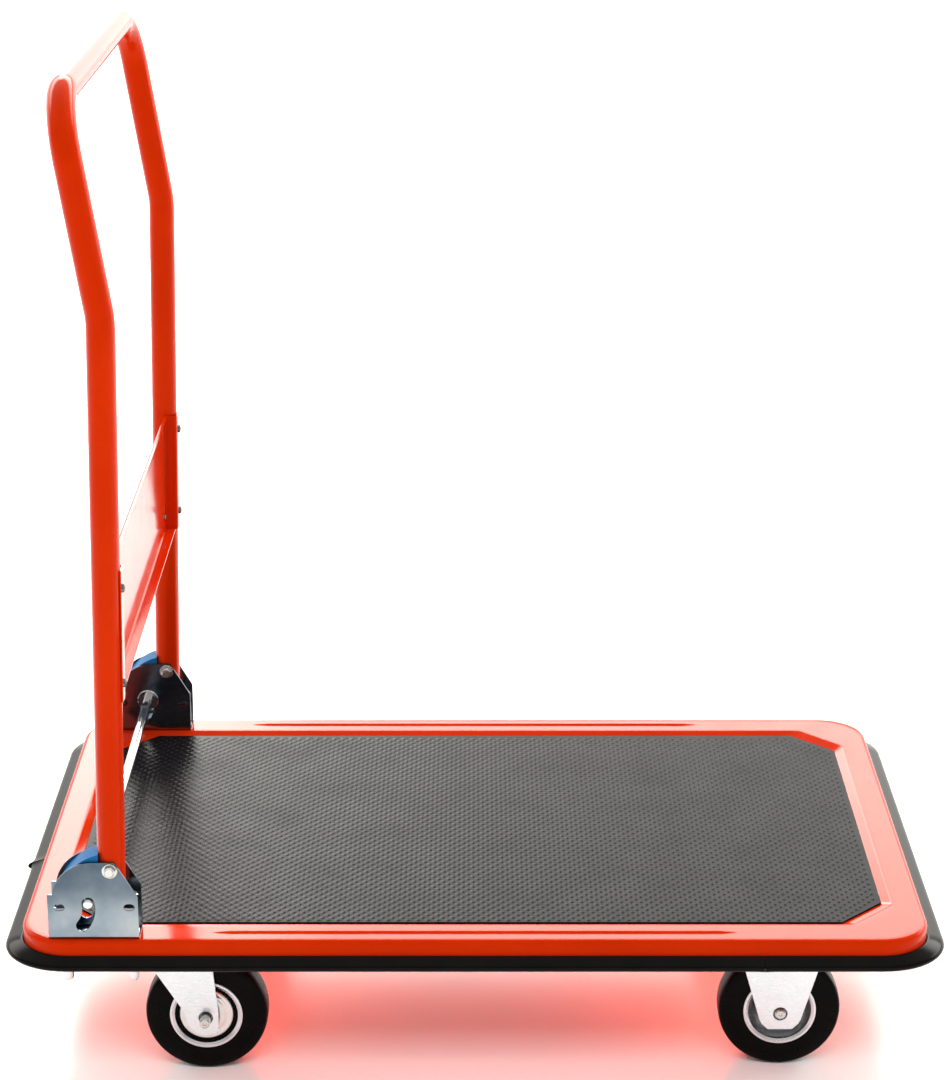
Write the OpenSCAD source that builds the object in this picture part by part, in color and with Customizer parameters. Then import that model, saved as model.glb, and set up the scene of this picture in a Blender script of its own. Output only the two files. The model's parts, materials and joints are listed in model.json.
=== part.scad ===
// Flatbed platform truck with a folding handle, two swivel casters and two rigid casters.
// X runs forward from the handle, Y to the left and Z up from the floor.
// The origin lies on the floor under the middle of the deck. All sizes are in millimetres.

/* [Deck] */
// Length of the sheet steel deck, without the bumper
deck_l = 722; // [700:2:760]
// Width of the sheet steel deck, without the bumper
deck_w = 462; // [460:2:480]
// Height of the deck rim above the floor
deck_top = 145; // [143:1:150]
// Height of the deck's side wall
wall_h = 24; // [22:1:26]
// Thickness of the deck sheet
sheet_t = 1.5; // [1.2:0.1:2]
// Radius of the deck's corners in plan
corner_r = 40; // [30:1:45]
// Width of the flat rim along the sides
side_rim = 30; // [28:1:32]
// Width of the flat rim at the ends
end_rim = 24.5; // [20:0.5:30]
// Length of the bead pressed into each side rim
bead_l = 414; // [300:1:440]

/* [Mat] */
// Depth of the recess that holds the mat
recess_h = 3.5; // [3:0.5:5]
// Thickness of the anti-slip mat
mat_t = 2.5; // [2:0.5:3]
// Length and width of the cut across each mat corner
mat_cut = 36; // [20:1:50]

/* [Bumper] */
// How far the rubber bumper stands out from the deck
bumper_out = 9; // [6:0.5:12]
// Position of the bumper joint along the right side
seam_x = 228; // [100:1:300]
// Position of the bumper joint along the rear end
seam_y = -50; // [-150:1:150]

/* [Handle] */
// Outer diameter of the handle tube
tube_d = 22; // [20:0.5:22]
// Distance between the two handle legs, axis to axis
leg_gap = 430; // [426:1:432]
// Height of the top of the crossbar above the floor
handle_top = 816; // [780:1:840]
// Height at which each leg bends back
bend_z = 643; // [600:1:680]
// Forward lean of the lower legs
lower_lean = 1.26; // [0:0.01:3]
// Backward lean of the upper legs
upper_lean = 9; // [5:0.1:12]
// Bottom edge of the cross panel
panel_z = 342; // [300:1:380]
// Height of the cross panel
panel_h = 107; // [80:1:120]

/* [Hinge brackets] */
// Position of the handle pivot along the deck
pivot_x = -285; // [-290:1:-280]
// Height of the handle pivot
pivot_z = 204; // [202:1:206]
// Thickness of the bracket sheet
bracket_t = 1.6; // [1.5:0.1:2]
// Diameter of the lock rod
rod_d = 8; // [7:0.5:8.5]

/* [Casters] */
// Diameter of the wheels
wheel_d = 100; // [98:1:101]
// Width of the tyres
tyre_w = 28; // [24:1:30]
// Position of the rigid casters along the deck
rigid_x = 249; // [240:1:255]
// Distance of the rigid casters from the centreline
rigid_y = 153; // [150:1:158]
// Position of the swivel axes along the deck
swivel_x = -249; // [-252:1:-245]
// Distance of the swivel axes from the centreline
swivel_y = 160; // [150:1:162]
// Distance from the swivel axis to the wheel axle
trail = 30; // [24:1:32]

/* [Hidden] */
$fn = 64;

// Colours
orange = "#dc3c10";
zinc = "#c3cbd2";
bright_steel = "#e2e5e8";
rubber = "#17171a";
pvc = "#6a6468";
guard_blue = "#1e82c8";

// Deck: the recess slopes from its mouth down to a floor that carries the mat
slope_w = 7;
mouth_l = deck_l - 2 * end_rim;
mouth_w = deck_w - 2 * side_rim;
floor_l = mouth_l - 2 * slope_w;
floor_w = mouth_w - 2 * slope_w;
floor_z = deck_top - recess_h;
wall_z = deck_top - wall_h;
under_z = floor_z - sheet_t;
bead_w = 5;
bead_depth = 0.8;
bead_y = deck_w / 2 - 15;
mat_gap = 0.5;

// Bumper profile: a round bulb outside the wall and a lip hooked behind it
bulb_r = 3.8;
bumper_z = wall_z - 2;
bulb_x = bumper_out - bulb_r;
bulb_z = bumper_z + 6.2;
bumper_top = bumper_z + 13.5;
lip_out = 1.2;
lip_in = sheet_t + 3;
seam_gap = 1.5;

// Cross members: shallow channels that carry the casters
mount_z = 119;
member_t = 1.5;
member_w = 438;
member_flange = 12;
rear_member = [-337, -194];
front_member = [194, 306];

// Handle: the leg axes lie at leg_y, and each leg passes through its pivot
leg_y = leg_gap / 2;
tube_t = 1.5;
leg_end = 23;
back_bend_r = 90;
top_bend_r = 45;
back_bend = lower_lean + upper_lean;
lower_l = (bend_z - pivot_z) / cos(lower_lean) - back_bend_r * tan(back_bend / 2);
bend_rise = back_bend_r * (sin(lower_lean) + sin(upper_lean));
lower_top_z = pivot_z + lower_l * cos(lower_lean);
upper_start_z = lower_top_z + bend_rise;
upper_l = (handle_top - tube_d / 2 - upper_start_z) / cos(upper_lean) - top_bend_r;
top_x = pivot_x + lower_l * sin(lower_lean) + back_bend_r * (cos(upper_lean) - cos(lower_lean))
    - (upper_l + top_bend_r) * sin(upper_lean);
bend_lap = 1;
bend_step = 0.4;

// Cross panel: a shallow tray between the legs
panel_t = 1.2;
panel_flange = 10;
panel_hem = 3.5;
panel_u = (panel_z - pivot_z) / cos(lower_lean);
screw_inset = 15;
screw_head_d = 7;
screw_d = 4;

// Hinge brackets: two side plates on a base that bolts to the rim
bracket_gap = tube_d + 0.6;
bracket_w = bracket_gap + 2 * bracket_t;
bracket_y = leg_y;
bracket_rear = -335;
bracket_front = -264;
arc_c = [-298.5, 178];
arc_r = 33;
bracket_step_z = 183.5;
bracket_bolt_x = [-323, -271];
pivot_bolt_d = 8;
fit_gap = 0.05;

// Lock: a sprung rod that swings on two levers about pins in the brackets
lever_pin = [-326, 172];
lever_pin_d = 5;
rod_arm = 23.4;
rod_up = 10;
rod_throw = 50;
rod = [lever_pin[0] + rod_arm * cos(rod_up), lever_pin[1] + rod_arm * sin(rod_up)];
slot_w = 10.4;
lever_t = 2;
spring_wire = 1.4;
spring_r = 4.2;
spring_turns = 3;
spring_pitch = 1.8;
spring_sides = 6;
spring_rings = 14;

// Casters
wheel_r = wheel_d / 2;
plate_l = 96;
plate_w = 76;
plate_t = 3;
plate_z = mount_z - plate_t;
bolt_dx = 38;
bolt_dy = 28;
fork_t = 2.5;
fork_gap = 34;
fork_out = fork_gap / 2 + fork_t;
crown_z = 106;
crown_t = 2.5;
race_z = 112.5;
race_r = 24;
ball_ring_r = 20;
ball_d = 3.8;
axle_d = 8;
hub_r = 8;
hub_l = 33;
side_signs = [1, -1];

// Turns a profile drawn in X and Z so that it is extruded along Y, centred on y
module along_y(y, w) {
    translate([0, y + w / 2, 0])
        rotate([90, 0, 0])
            linear_extrude(w)
                children();
}

// A round bar along Y, centred on the point
module bar_y(p, d, w) {
    translate(p)
        rotate([90, 0, 0])
            cylinder(d = d, h = w, center = true);
}

// A hexagonal prism along Y
module hex_y(p, across, w) {
    translate(p)
        rotate([90, 0, 0])
            cylinder(d = across / cos(30), h = w, center = true, $fn = 6);
}

// Rectangle with round corners, in plan
module round_plan(l, w, r) {
    square([l - 2 * r, w], center = true);
    square([l, w - 2 * r], center = true);
    for (sx = side_signs, sy = side_signs)
        translate([sx * (l / 2 - r), sy * (w / 2 - r)])
            circle(r, $fn = 96);
}

// Rectangle with its corners cut off at 45 degrees, in plan
module cut_plan(l, w, c) {
    polygon([
        [l / 2, w / 2 - c], [l / 2 - c, w / 2], [c - l / 2, w / 2], [-l / 2, w / 2 - c],
        [-l / 2, c - w / 2], [c - l / 2, -w / 2], [l / 2 - c, -w / 2], [l / 2, c - w / 2]
    ]);
}

// Frustum between the mouth and the floor of the recess, grown by g and sunk by d
module recess_block(g, d) {
    over = 1;
    hull() {
        translate([0, 0, deck_top - d])
            linear_extrude(over)
                cut_plan(mouth_l + 2 * g, mouth_w + 2 * g, mat_cut);
        translate([0, 0, floor_z - d])
            linear_extrude(over / 100)
                cut_plan(floor_l + 2 * g, floor_w + 2 * g, mat_cut);
    }
}

module bracket_holes(d) {
    for (x = bracket_bolt_x, s = side_signs)
        translate([x, s * bracket_y, mount_z - 1])
            cylinder(d = d, h = 40);
}

module deck_pan() {
    color(orange)
        difference() {
            union() {
                difference() {
                    translate([0, 0, wall_z])
                        linear_extrude(wall_h)
                            round_plan(deck_l, deck_w, corner_r);
                    translate([0, 0, wall_z - 1])
                        linear_extrude(wall_h + 1 - sheet_t)
                            round_plan(deck_l - 2 * sheet_t, deck_w - 2 * sheet_t, corner_r - sheet_t);
                }
                intersection() {
                    recess_block(sheet_t, sheet_t);
                    translate([-deck_l / 2, -deck_w / 2, under_z])
                        cube([deck_l, deck_w, recess_h]);
                }
            }
            recess_block(0, 0);
            bracket_holes(6.4);
            for (s = side_signs)
                translate([0, s * bead_y, deck_top - bead_depth])
                    linear_extrude(bead_depth + 1)
                        union() {
                            square([bead_l - bead_w, bead_w], center = true);
                            for (e = side_signs)
                                translate([e * (bead_l - bead_w) / 2, 0])
                                    circle(d = bead_w);
                        }
        }
}

module anti_slip_mat() {
    color(pvc)
        translate([0, 0, floor_z])
            linear_extrude(mat_t)
                cut_plan(floor_l - 2 * mat_gap, floor_w - 2 * mat_gap, mat_cut);
}

// Bumper section: x is the distance out from the deck wall, y the height
module bumper_section() {
    translate([bulb_x, bulb_z])
        circle(bulb_r, $fn = 48);
    polygon([
        [0, bumper_top], [1.5, bumper_top], [bulb_x + 2.8, bulb_z + 2.5], [bulb_x, bulb_z],
        [bulb_x - 0.8, bulb_z - 3.6], [lip_out, bumper_z + 1], [0, bumper_z + 1]
    ]);
    translate([-lip_in, bumper_z])
        square([lip_in + lip_out, wall_z - bumper_z]);
    translate([-lip_in, bumper_z])
        square([lip_in - sheet_t, 9]);
}

// Straight run of bumper from a to b, with its outside to the right of the way it runs
module bumper_run(a, b) {
    d = b - a;
    translate([a[0], a[1], 0])
        rotate([0, 0, atan2(d[1], d[0]) - 90])
            rotate([90, 0, 180])
                mirror([1, 0, 0])
                    linear_extrude(norm(d))
                        bumper_section();
}

// Quarter turn of bumper round the corner at sx, sy
module bumper_corner(sx, sy) {
    start = sx > 0 ? (sy > 0 ? 0 : 270) : (sy > 0 ? 90 : 180);
    translate([sx * (deck_l / 2 - corner_r), sy * (deck_w / 2 - corner_r), 0])
        rotate([0, 0, start])
            rotate_extrude(angle = 90, $fn = 96)
                translate([corner_r, 0])
                    bumper_section();
}

module bumper_right() {
    color(rubber) {
        bumper_run([-deck_l / 2, seam_y - seam_gap], [-deck_l / 2, corner_r - deck_w / 2]);
        bumper_corner(-1, -1);
        bumper_run([corner_r - deck_l / 2, -deck_w / 2], [seam_x - seam_gap, -deck_w / 2]);
    }
}

module bumper_left() {
    color(rubber) {
        bumper_run([seam_x, -deck_w / 2], [deck_l / 2 - corner_r, -deck_w / 2]);
        bumper_corner(1, -1);
        bumper_run([deck_l / 2, corner_r - deck_w / 2], [deck_l / 2, deck_w / 2 - corner_r]);
        bumper_corner(1, 1);
        bumper_run([deck_l / 2 - corner_r, deck_w / 2], [corner_r - deck_l / 2, deck_w / 2]);
        bumper_corner(-1, 1);
        bumper_run([-deck_l / 2, deck_w / 2 - corner_r], [-deck_l / 2, seam_y]);
    }
}

// The four bolts of one caster plate centred at x, y
module plate_bolt_places(x, y) {
    for (sx = side_signs, sy = side_signs)
        translate([x + sx * bolt_dx, y + sy * bolt_dy, 0])
            children();
}

// A top-hat channel from x0 to x1, welded under the deck by its two flanges
module cross_member(x0, x1, caster_x, caster_y) {
    flange_z = under_z - member_t;
    color(orange)
        difference() {
            along_y(0, member_w)
                polygon([
                    [x0 - member_flange, under_z], [x0 - member_flange, flange_z],
                    [x0, flange_z], [x0, mount_z], [x1, mount_z], [x1, flange_z],
                    [x1 + member_flange, flange_z], [x1 + member_flange, under_z],
                    [x1 - member_t, under_z], [x1 - member_t, mount_z + member_t],
                    [x0 + member_t, mount_z + member_t], [x0 + member_t, under_z]
                ]);
            for (s = side_signs)
                plate_bolt_places(caster_x, s * caster_y)
                    translate([0, 0, mount_z - 1])
                        cylinder(d = 8.4, h = 4);
            bracket_holes(6.4);
        }
}

module cross_member_rear() {
    cross_member(rear_member[0], rear_member[1], swivel_x, swivel_y);
}

module cross_member_front() {
    cross_member(front_member[0], front_member[1], rigid_x, rigid_y);
}

// Side plate of a hinge bracket, in X and Z
module bracket_outline() {
    intersection() {
        union() {
            polygon([
                [bracket_rear, deck_top], [bracket_front, deck_top], [bracket_front, 181.5],
                [-281.5, 211], [arc_c[0], 211], [arc_c[0], bracket_step_z], [bracket_rear, bracket_step_z]
            ]);
            translate(arc_c)
                circle(arc_r, $fn = 128);
        }
        translate([bracket_rear, deck_top])
            square([bracket_front - bracket_rear, 80]);
    }
}

// The slot that the lock rod travels in, an arc about the lever pin
module rod_slot() {
    for (a = [rod_up, rod_up - rod_throw])
        translate(lever_pin + rod_arm * [cos(a), sin(a)])
            circle(d = slot_w);
    difference() {
        translate(lever_pin)
            circle(rod_arm + slot_w / 2, $fn = 128);
        translate(lever_pin)
            circle(rod_arm - slot_w / 2, $fn = 128);
        translate(lever_pin)
            rotate(rod_up)
                translate([-60, 0])
                    square([120, 60]);
        translate(lever_pin)
            rotate(rod_up - rod_throw)
                translate([-60, -60])
                    square([120, 60]);
    }
}

module hinge_bracket(side) {
    y = side * bracket_y;
    color(zinc)
        difference() {
            union() {
                for (s = side_signs)
                    along_y(y + s * (bracket_w - bracket_t) / 2, bracket_t)
                        bracket_outline();
                translate([bracket_rear, y - bracket_w / 2, deck_top])
                    cube([bracket_front - bracket_rear, bracket_w, bracket_t]);
                translate([bracket_rear, y - bracket_w / 2, deck_top])
                    cube([bracket_t, bracket_w, 20]);
            }
            along_y(y, bracket_w + 2)
                rod_slot();
            bar_y([pivot_x, y, pivot_z], pivot_bolt_d, bracket_w + 2);
            for (x = bracket_bolt_x)
                translate([x, y, deck_top - 1])
                    cylinder(d = 6.4, h = 6);
        }
}

module hinge_bracket_left() {
    hinge_bracket(1);
}

module hinge_bracket_right() {
    hinge_bracket(-1);
}

// Round-head bolts through the bracket bases, the rim and the rear cross member
module bracket_bolts() {
    head_z = deck_top + bracket_t;
    color(zinc)
        for (x = bracket_bolt_x, s = side_signs)
            translate([x, s * bracket_y, 0]) {
                translate([0, 0, 110])
                    cylinder(d = 6, h = head_z - 110);
                translate([0, 0, head_z])
                    cylinder(d = 12, h = 1.4);
                translate([0, 0, head_z + 1.4])
                    cylinder(d1 = 10.5, d2 = 6, h = 1.8);
            }
}

module bracket_cap_nuts() {
    color(bright_steel)
        for (x = bracket_bolt_x, s = side_signs)
            translate([x, s * bracket_y, 0])
                difference() {
                    union() {
                        translate([0, 0, mount_z - 1])
                            cylinder(d = 12, h = 1);
                        translate([0, 0, 112])
                            cylinder(d = 10 / cos(30), h = mount_z - 113, $fn = 6);
                        translate([0, 0, 109.5])
                            cylinder(d = 9, h = 2.5);
                        translate([0, 0, 109.5])
                            sphere(d = 9);
                    }
                    translate([0, 0, 110])
                        cylinder(d = 6, h = 12);
                }
}

// Pivot bolt through both side plates and the handle tube, with a washer at each end
module pivot_bolt(side) {
    y = side * bracket_y;
    face = bracket_w / 2;
    color(bright_steel) {
        bar_y([pivot_x, y, pivot_z], pivot_bolt_d, bracket_w);
        for (s = side_signs) {
            bar_y([pivot_x, y + s * (face + 0.6), pivot_z], 12, 1.2);
            hex_y([pivot_x, y + s * (face + 2.7), pivot_z], 9, 3);
        }
    }
}

module pivot_bolt_left() {
    pivot_bolt(1);
}

module pivot_bolt_right() {
    pivot_bolt(-1);
}

// Places a child at the pivot of one leg, with z along the lower leg
module leg_frame(side) {
    translate([pivot_x, side * leg_y, pivot_z])
        rotate([0, lower_lean, 0])
            children();
}

// A bend in round bar, turning away from z towards -x, with its end at the origin
module bar_bend(d, r, angle) {
    translate([-r, 0, 0])
        rotate([90, 0, 0])
            rotate_extrude(angle = angle, $fn = 180)
                translate([r, 0])
                    circle(d = d);
}

// A straight bar along z, a little thinner than the bends that it reaches into
module bar_straight(d, z0, z1) {
    translate([0, 0, z0])
        cylinder(d = d - bend_step, h = z1 - z0);
}

// One leg of the handle in bar of diameter d, with its back bend and its bend into the crossbar
module handle_leg(side, d, end) {
    leg_frame(side) {
        bar_straight(d, -end, lower_l + bend_lap);
        translate([0, 0, lower_l]) {
            bar_bend(d, back_bend_r, back_bend);
            translate([-back_bend_r, 0, 0])
                rotate([0, -back_bend, 0])
                    translate([back_bend_r, 0, 0]) {
                        bar_straight(d, -bend_lap, upper_l + bend_lap);
                        translate([0, 0, upper_l])
                            rotate([0, 0, side * 90])
                                bar_bend(d, top_bend_r, 90);
                    }
        }
    }
}

// The whole U of the handle in solid bar
module handle_bar(d, end) {
    crossbar_l = 2 * (leg_y - top_bend_r + bend_lap);
    handle_leg(1, d, end);
    handle_leg(-1, d, end);
    bar_y([top_x, 0, handle_top - tube_d / 2], d - bend_step, crossbar_l);
}

// The four screw places on the fronts of the legs, with z pointing forward
module screw_places() {
    translate([pivot_x, 0, pivot_z])
        rotate([0, lower_lean, 0])
            for (s = side_signs, z = [screw_inset, panel_h - screw_inset])
                translate([tube_d / 2, s * leg_y, panel_u + z])
                    rotate([0, 90, 0])
                        children();
}

module handle_tube() {
    color(orange)
        difference() {
            handle_bar(tube_d, leg_end);
            handle_bar(tube_d - 2 * tube_t, leg_end + 1);
            for (s = side_signs)
                bar_y([pivot_x, s * leg_y, pivot_z], pivot_bolt_d + 2 * fit_gap, tube_d + 2);
            screw_places()
                translate([0, 0, -5])
                    cylinder(d = screw_d, h = 6);
        }
}

// Cross panel: main face between the legs, flanges along its top and bottom, and a tab in front of each leg
module cross_panel() {
    inner = leg_y - tube_d / 2;
    front = tube_d / 2;
    tab_w = 16;
    color(orange)
        translate([pivot_x, 0, pivot_z])
            rotate([0, lower_lean, 0])
                translate([0, 0, panel_u])
                    difference() {
                        union() {
                            translate([0, -inner, 0])
                                cube([panel_t, 2 * inner, panel_h]);
                            translate([0, -inner, 0])
                                cube([panel_flange, 2 * inner, panel_t]);
                            translate([0, -inner, panel_h - panel_t])
                                cube([panel_hem, 2 * inner, panel_t]);
                            for (s = side_signs) {
                                translate([0, s * (inner - panel_t / 2) - panel_t / 2, 0])
                                    cube([front + panel_t, panel_t, panel_h]);
                                translate([front, s * (inner - panel_t + tab_w / 2) - tab_w / 2, 0])
                                    cube([panel_t, tab_w, panel_h]);
                            }
                        }
                        for (s = side_signs, z = [screw_inset, panel_h - screw_inset])
                            translate([front - 1, s * leg_y, z])
                                rotate([0, 90, 0])
                                    cylinder(d = screw_d, h = 4);
                    }
}

// Screws that hold the panel's tabs to the fronts of the legs
module panel_screws() {
    color(bright_steel)
        screw_places() {
            translate([0, 0, panel_t])
                cylinder(d1 = screw_head_d, d2 = screw_d, h = 2.4);
            translate([0, 0, -4])
                cylinder(d = screw_d, h = 4 + panel_t);
        }
}

// Plastic guard that fills the gap behind the tube, so that no finger goes in as the handle folds
module finger_guard(side) {
    guard_w = bracket_gap - 1;
    guard_c = [-281, 169.6];
    guard_r = 49;
    bottom = 188;
    color(guard_blue)
        difference() {
            along_y(side * leg_y, guard_w)
                intersection() {
                    translate(guard_c)
                        circle(guard_r, $fn = 128);
                    translate([-340, bottom])
                        square([340 + pivot_x - 4, 40]);
                }
            leg_frame(side)
                translate([0, 0, -40])
                    cylinder(d = tube_d, h = 80);
            along_y(side * leg_y, guard_w - 5)
                translate([-340, bottom - 1])
                    square([340 - 302, 16]);
        }
}

module finger_guard_left() {
    finger_guard(1);
}

module finger_guard_right() {
    finger_guard(-1);
}

module lock_rod() {
    color(bright_steel)
        bar_y([rod[0], 0, rod[1]], rod_d, 2 * bracket_y + bracket_w + 5);
}

// One lever plate between the pin at the rear and the rod
module lever(y) {
    difference() {
        union() {
            along_y(y, lever_t)
                union() {
                    translate(lever_pin)
                        circle(5);
                    translate(rod)
                        circle(5.5);
                    translate(lever_pin)
                        rotate(rod_up)
                            translate([0, -4])
                                square([rod_arm, 8]);
                }
            bar_y([lever_pin[0], y, lever_pin[1]], 8.4, 9);
        }
        bar_y([lever_pin[0], y, lever_pin[1]], lever_pin_d + 2 * fit_gap, 10);
        bar_y([rod[0], y, rod[1]], rod_d, 10);
    }
}

module lock_levers() {
    color(zinc)
        for (s = side_signs)
            lever(s * (bracket_y - 4));
}

// Spring clip on the lock rod, just inside the left bracket
module rod_clip() {
    clip_y = bracket_y - bracket_w / 2 - 24;
    color(zinc)
        difference() {
            union() {
                bar_y([rod[0], clip_y, rod[1]], rod_d + 2.4, 7);
                translate([rod[0], clip_y - 3.5, rod[1] + 2.5])
                    cube([9, 7, 1.2]);
            }
            bar_y([rod[0], clip_y, rod[1]], rod_d, 8);
            translate([rod[0] - 2, clip_y - 4, rod[1] - 8])
                cube([4, 8, 6]);
        }
}

module lever_pins() {
    color(zinc)
        for (s = side_signs)
            bar_y([lever_pin[0], s * bracket_y, lever_pin[1]], lever_pin_d, bracket_gap);
}

// Ring i of a coil of round wire about Y, as points
function coil_ring(i) =
    let (
        a = 360 * i / spring_rings,
        c = [spring_r * cos(a), spring_pitch * i / spring_rings, spring_r * sin(a)]
    )
    [for (k = [0 : spring_sides - 1])
        let (b = 360 * k / spring_sides)
        c + spring_wire / 2 * [cos(b) * cos(a), sin(b), cos(b) * sin(a)]];

// Torsion spring round the lever pin, beside the lever's hub
module return_spring() {
    rings = spring_rings * spring_turns;
    n = spring_sides;
    points = [for (i = [0 : rings]) each coil_ring(i)];
    walls = [for (i = [0 : rings - 1], k = [0 : n - 1])
        [i * n + k, i * n + (k + 1) % n, (i + 1) * n + (k + 1) % n, (i + 1) * n + k]];
    ends = [[for (k = [n - 1 : -1 : 0]) k], [for (k = [0 : n - 1]) rings * n + k]];
    translate([lever_pin[0], bracket_y + 2, lever_pin[1]])
        polyhedron(points, concat(walls, ends), convexity = 4);
}

module return_springs() {
    color(bright_steel) {
        return_spring();
        mirror([0, 1, 0])
            return_spring();
    }
}

// Bolts and nuts that hold the four caster plates to the cross members
module caster_bolt_places() {
    for (s = side_signs) {
        plate_bolt_places(swivel_x, s * swivel_y)
            children();
        plate_bolt_places(rigid_x, s * rigid_y)
            children();
    }
}

module caster_bolts() {
    color(zinc)
        caster_bolt_places() {
            translate([0, 0, plate_z])
                cylinder(d = 8, h = 15);
            translate([0, 0, plate_z - 4])
                cylinder(d = 13 / cos(30), h = 4, $fn = 6);
        }
}

module caster_nuts() {
    color(zinc)
        caster_bolt_places()
            difference() {
                translate([0, 0, mount_z + member_t])
                    cylinder(d = 13 / cos(30), h = 6, $fn = 6);
                translate([0, 0, mount_z])
                    cylinder(d = 8, h = 10);
            }
}

// Caster plate with four slotless holes, in place
module caster_plate(x, y) {
    difference() {
        translate([x, y, plate_z])
            linear_extrude(plate_t)
                round_plan(plate_l, plate_w, 8);
        plate_bolt_places(x, y)
            translate([0, 0, plate_z - 1])
                cylinder(d = 8.4, h = plate_t + 2);
    }
}

// Swivel plate: the caster plate with the upper race pressed down from it
module swivel_plate(side) {
    y = side * swivel_y;
    color(zinc) {
        difference() {
            union() {
                caster_plate(swivel_x, y);
                translate([swivel_x, y, 0])
                    rotate_extrude()
                        polygon([
                            [17, plate_z], [17, race_z], [race_r + 1, race_z], [race_r + 1, race_z - 3],
                            [race_r + 3, race_z - 3], [race_r + 3, plate_z]
                        ]);
            }
            translate([swivel_x, y, plate_z - 1])
                cylinder(d = 10, h = plate_t + 2);
        }
    }
}

module swivel_plate_left() {
    swivel_plate(1);
}

module swivel_plate_right() {
    swivel_plate(-1);
}

// Ring of bearing balls between the plate and the fork crown
module swivel_balls(side) {
    balls = 14;
    color(bright_steel)
        for (i = [0 : balls - 1])
            translate([swivel_x, side * swivel_y, (race_z + crown_z + crown_t) / 2])
                rotate([0, 0, 360 * i / balls])
                    translate([ball_ring_r, 0, 0])
                        sphere(d = ball_d, $fn = 24);
}

module swivel_balls_left() {
    swivel_balls(1);
}

module swivel_balls_right() {
    swivel_balls(-1);
}

// Rivet that holds the fork to the plate
module kingpin(side) {
    color(zinc)
        translate([swivel_x, side * swivel_y, 0]) {
            translate([0, 0, 103.5])
                cylinder(d = 17, h = 2.3);
            translate([0, 0, 105.8])
                cylinder(d = 10, h = plate_z + plate_t - 105.8);
        }
}

module kingpin_left() {
    kingpin(1);
}

module kingpin_right() {
    kingpin(-1);
}

// Swivel fork leg, in X and Z, measured from the axle
module swivel_leg() {
    ax = swivel_x + trail;
    az = wheel_r;
    intersection() {
        union() {
            polygon([
                [ax - 52, crown_z], [ax - 40, 92], [ax - 19, az + 8], [ax, az], [ax + 10, az],
                [ax + 10.3, az + 4], [ax + 7, 92], [ax + 4, crown_z]
            ]);
            translate([ax, az])
                circle(15.5);
            polygon([[ax - 19, az + 8], [ax - 15.5, az], [ax, az], [ax, az + 8]]);
        }
        translate([ax - 60, 20])
            square([74, crown_z - 20]);
    }
}

module swivel_fork(side) {
    y = side * swivel_y;
    ax = swivel_x + trail;
    color(zinc)
        difference() {
            union() {
                for (s = side_signs)
                    along_y(y + s * (fork_gap + fork_t) / 2, fork_t)
                        swivel_leg();
                translate([swivel_x, y, crown_z]) {
                    cylinder(r = race_r + 1.5, h = crown_t);
                    translate([trail - 52, -fork_out, 0])
                        cube([56, 2 * fork_out, crown_t]);
                }
            }
            translate([swivel_x, y, crown_z - 1])
                cylinder(d = 10 + 2 * fit_gap, h = 5);
            bar_y([ax, y, wheel_r], axle_d, 2 * fork_out + 2);
        }
}

module swivel_fork_left() {
    swivel_fork(1);
}

module swivel_fork_right() {
    swivel_fork(-1);
}

// Rigid fork: plate and legs pressed from one sheet, each leg tapering to a narrow foot
module rigid_fork(side) {
    y = side * rigid_y;
    color(zinc)
        difference() {
            union() {
                caster_plate(rigid_x, y);
                for (s = side_signs)
                    along_y(y + s * (fork_gap + fork_t) / 2, fork_t)
                        polygon([
                            [rigid_x - 38, plate_z], [rigid_x - 34, 104], [rigid_x - 17, 45],
                            [rigid_x - 15, 41], [rigid_x - 10, 36], [rigid_x + 10, 36],
                            [rigid_x + 15, 41], [rigid_x + 17, 45], [rigid_x + 34, 104],
                            [rigid_x + 38, plate_z]
                        ]);
            }
            bar_y([rigid_x, y, wheel_r], axle_d, 2 * fork_out + 2);
        }
}

module rigid_fork_left() {
    rigid_fork(1);
}

module rigid_fork_right() {
    rigid_fork(-1);
}

// Axle bolt with a hexagon head outside the truck and a nut on the inner side
module axle(x, y) {
    out = sign(y);
    color(bright_steel) {
        bar_y([x, y, wheel_r], axle_d, 2 * fork_out);
        hex_y([x, y + out * (fork_out + 2), wheel_r], 10, 4);
        hex_y([x, y - out * (fork_out + 2.5), wheel_r], 12, 5);
        bar_y([x, y - out * (fork_out + 6), wheel_r], axle_d - 1, 2);
    }
}

module axle_rear_left() {
    axle(swivel_x + trail, swivel_y);
}

module axle_rear_right() {
    axle(swivel_x + trail, -swivel_y);
}

module axle_front_left() {
    axle(rigid_x, rigid_y);
}

module axle_front_right() {
    axle(rigid_x, -rigid_y);
}

// Puts a profile drawn with radius and width on the axle at x, y
module on_axle(x, y) {
    translate([x, y, wheel_r])
        rotate([90, 0, 0])
            rotate_extrude($fn = 128)
                children();
}

// Solid rubber tyre with round shoulders
module tyre(x, y) {
    half = tyre_w / 2;
    shoulder = 5;
    color(rubber)
        on_axle(x, y) {
            translate([29, -half + 1])
                square([wheel_r - 29 - shoulder, tyre_w - 2]);
            translate([29, -half + shoulder])
                square([wheel_r - 29, tyre_w - 2 * shoulder]);
            translate([34, -half])
                square([wheel_r - 34 - shoulder, tyre_w]);
            for (s = side_signs)
                translate([wheel_r - shoulder, s * (half - shoulder)])
                    circle(shoulder, $fn = 48);
        }
}

module tyre_rear_left() {
    tyre(swivel_x + trail, swivel_y);
}

module tyre_rear_right() {
    tyre(swivel_x + trail, -swivel_y);
}

module tyre_front_left() {
    tyre(rigid_x, rigid_y);
}

module tyre_front_right() {
    tyre(rigid_x, -rigid_y);
}

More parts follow.
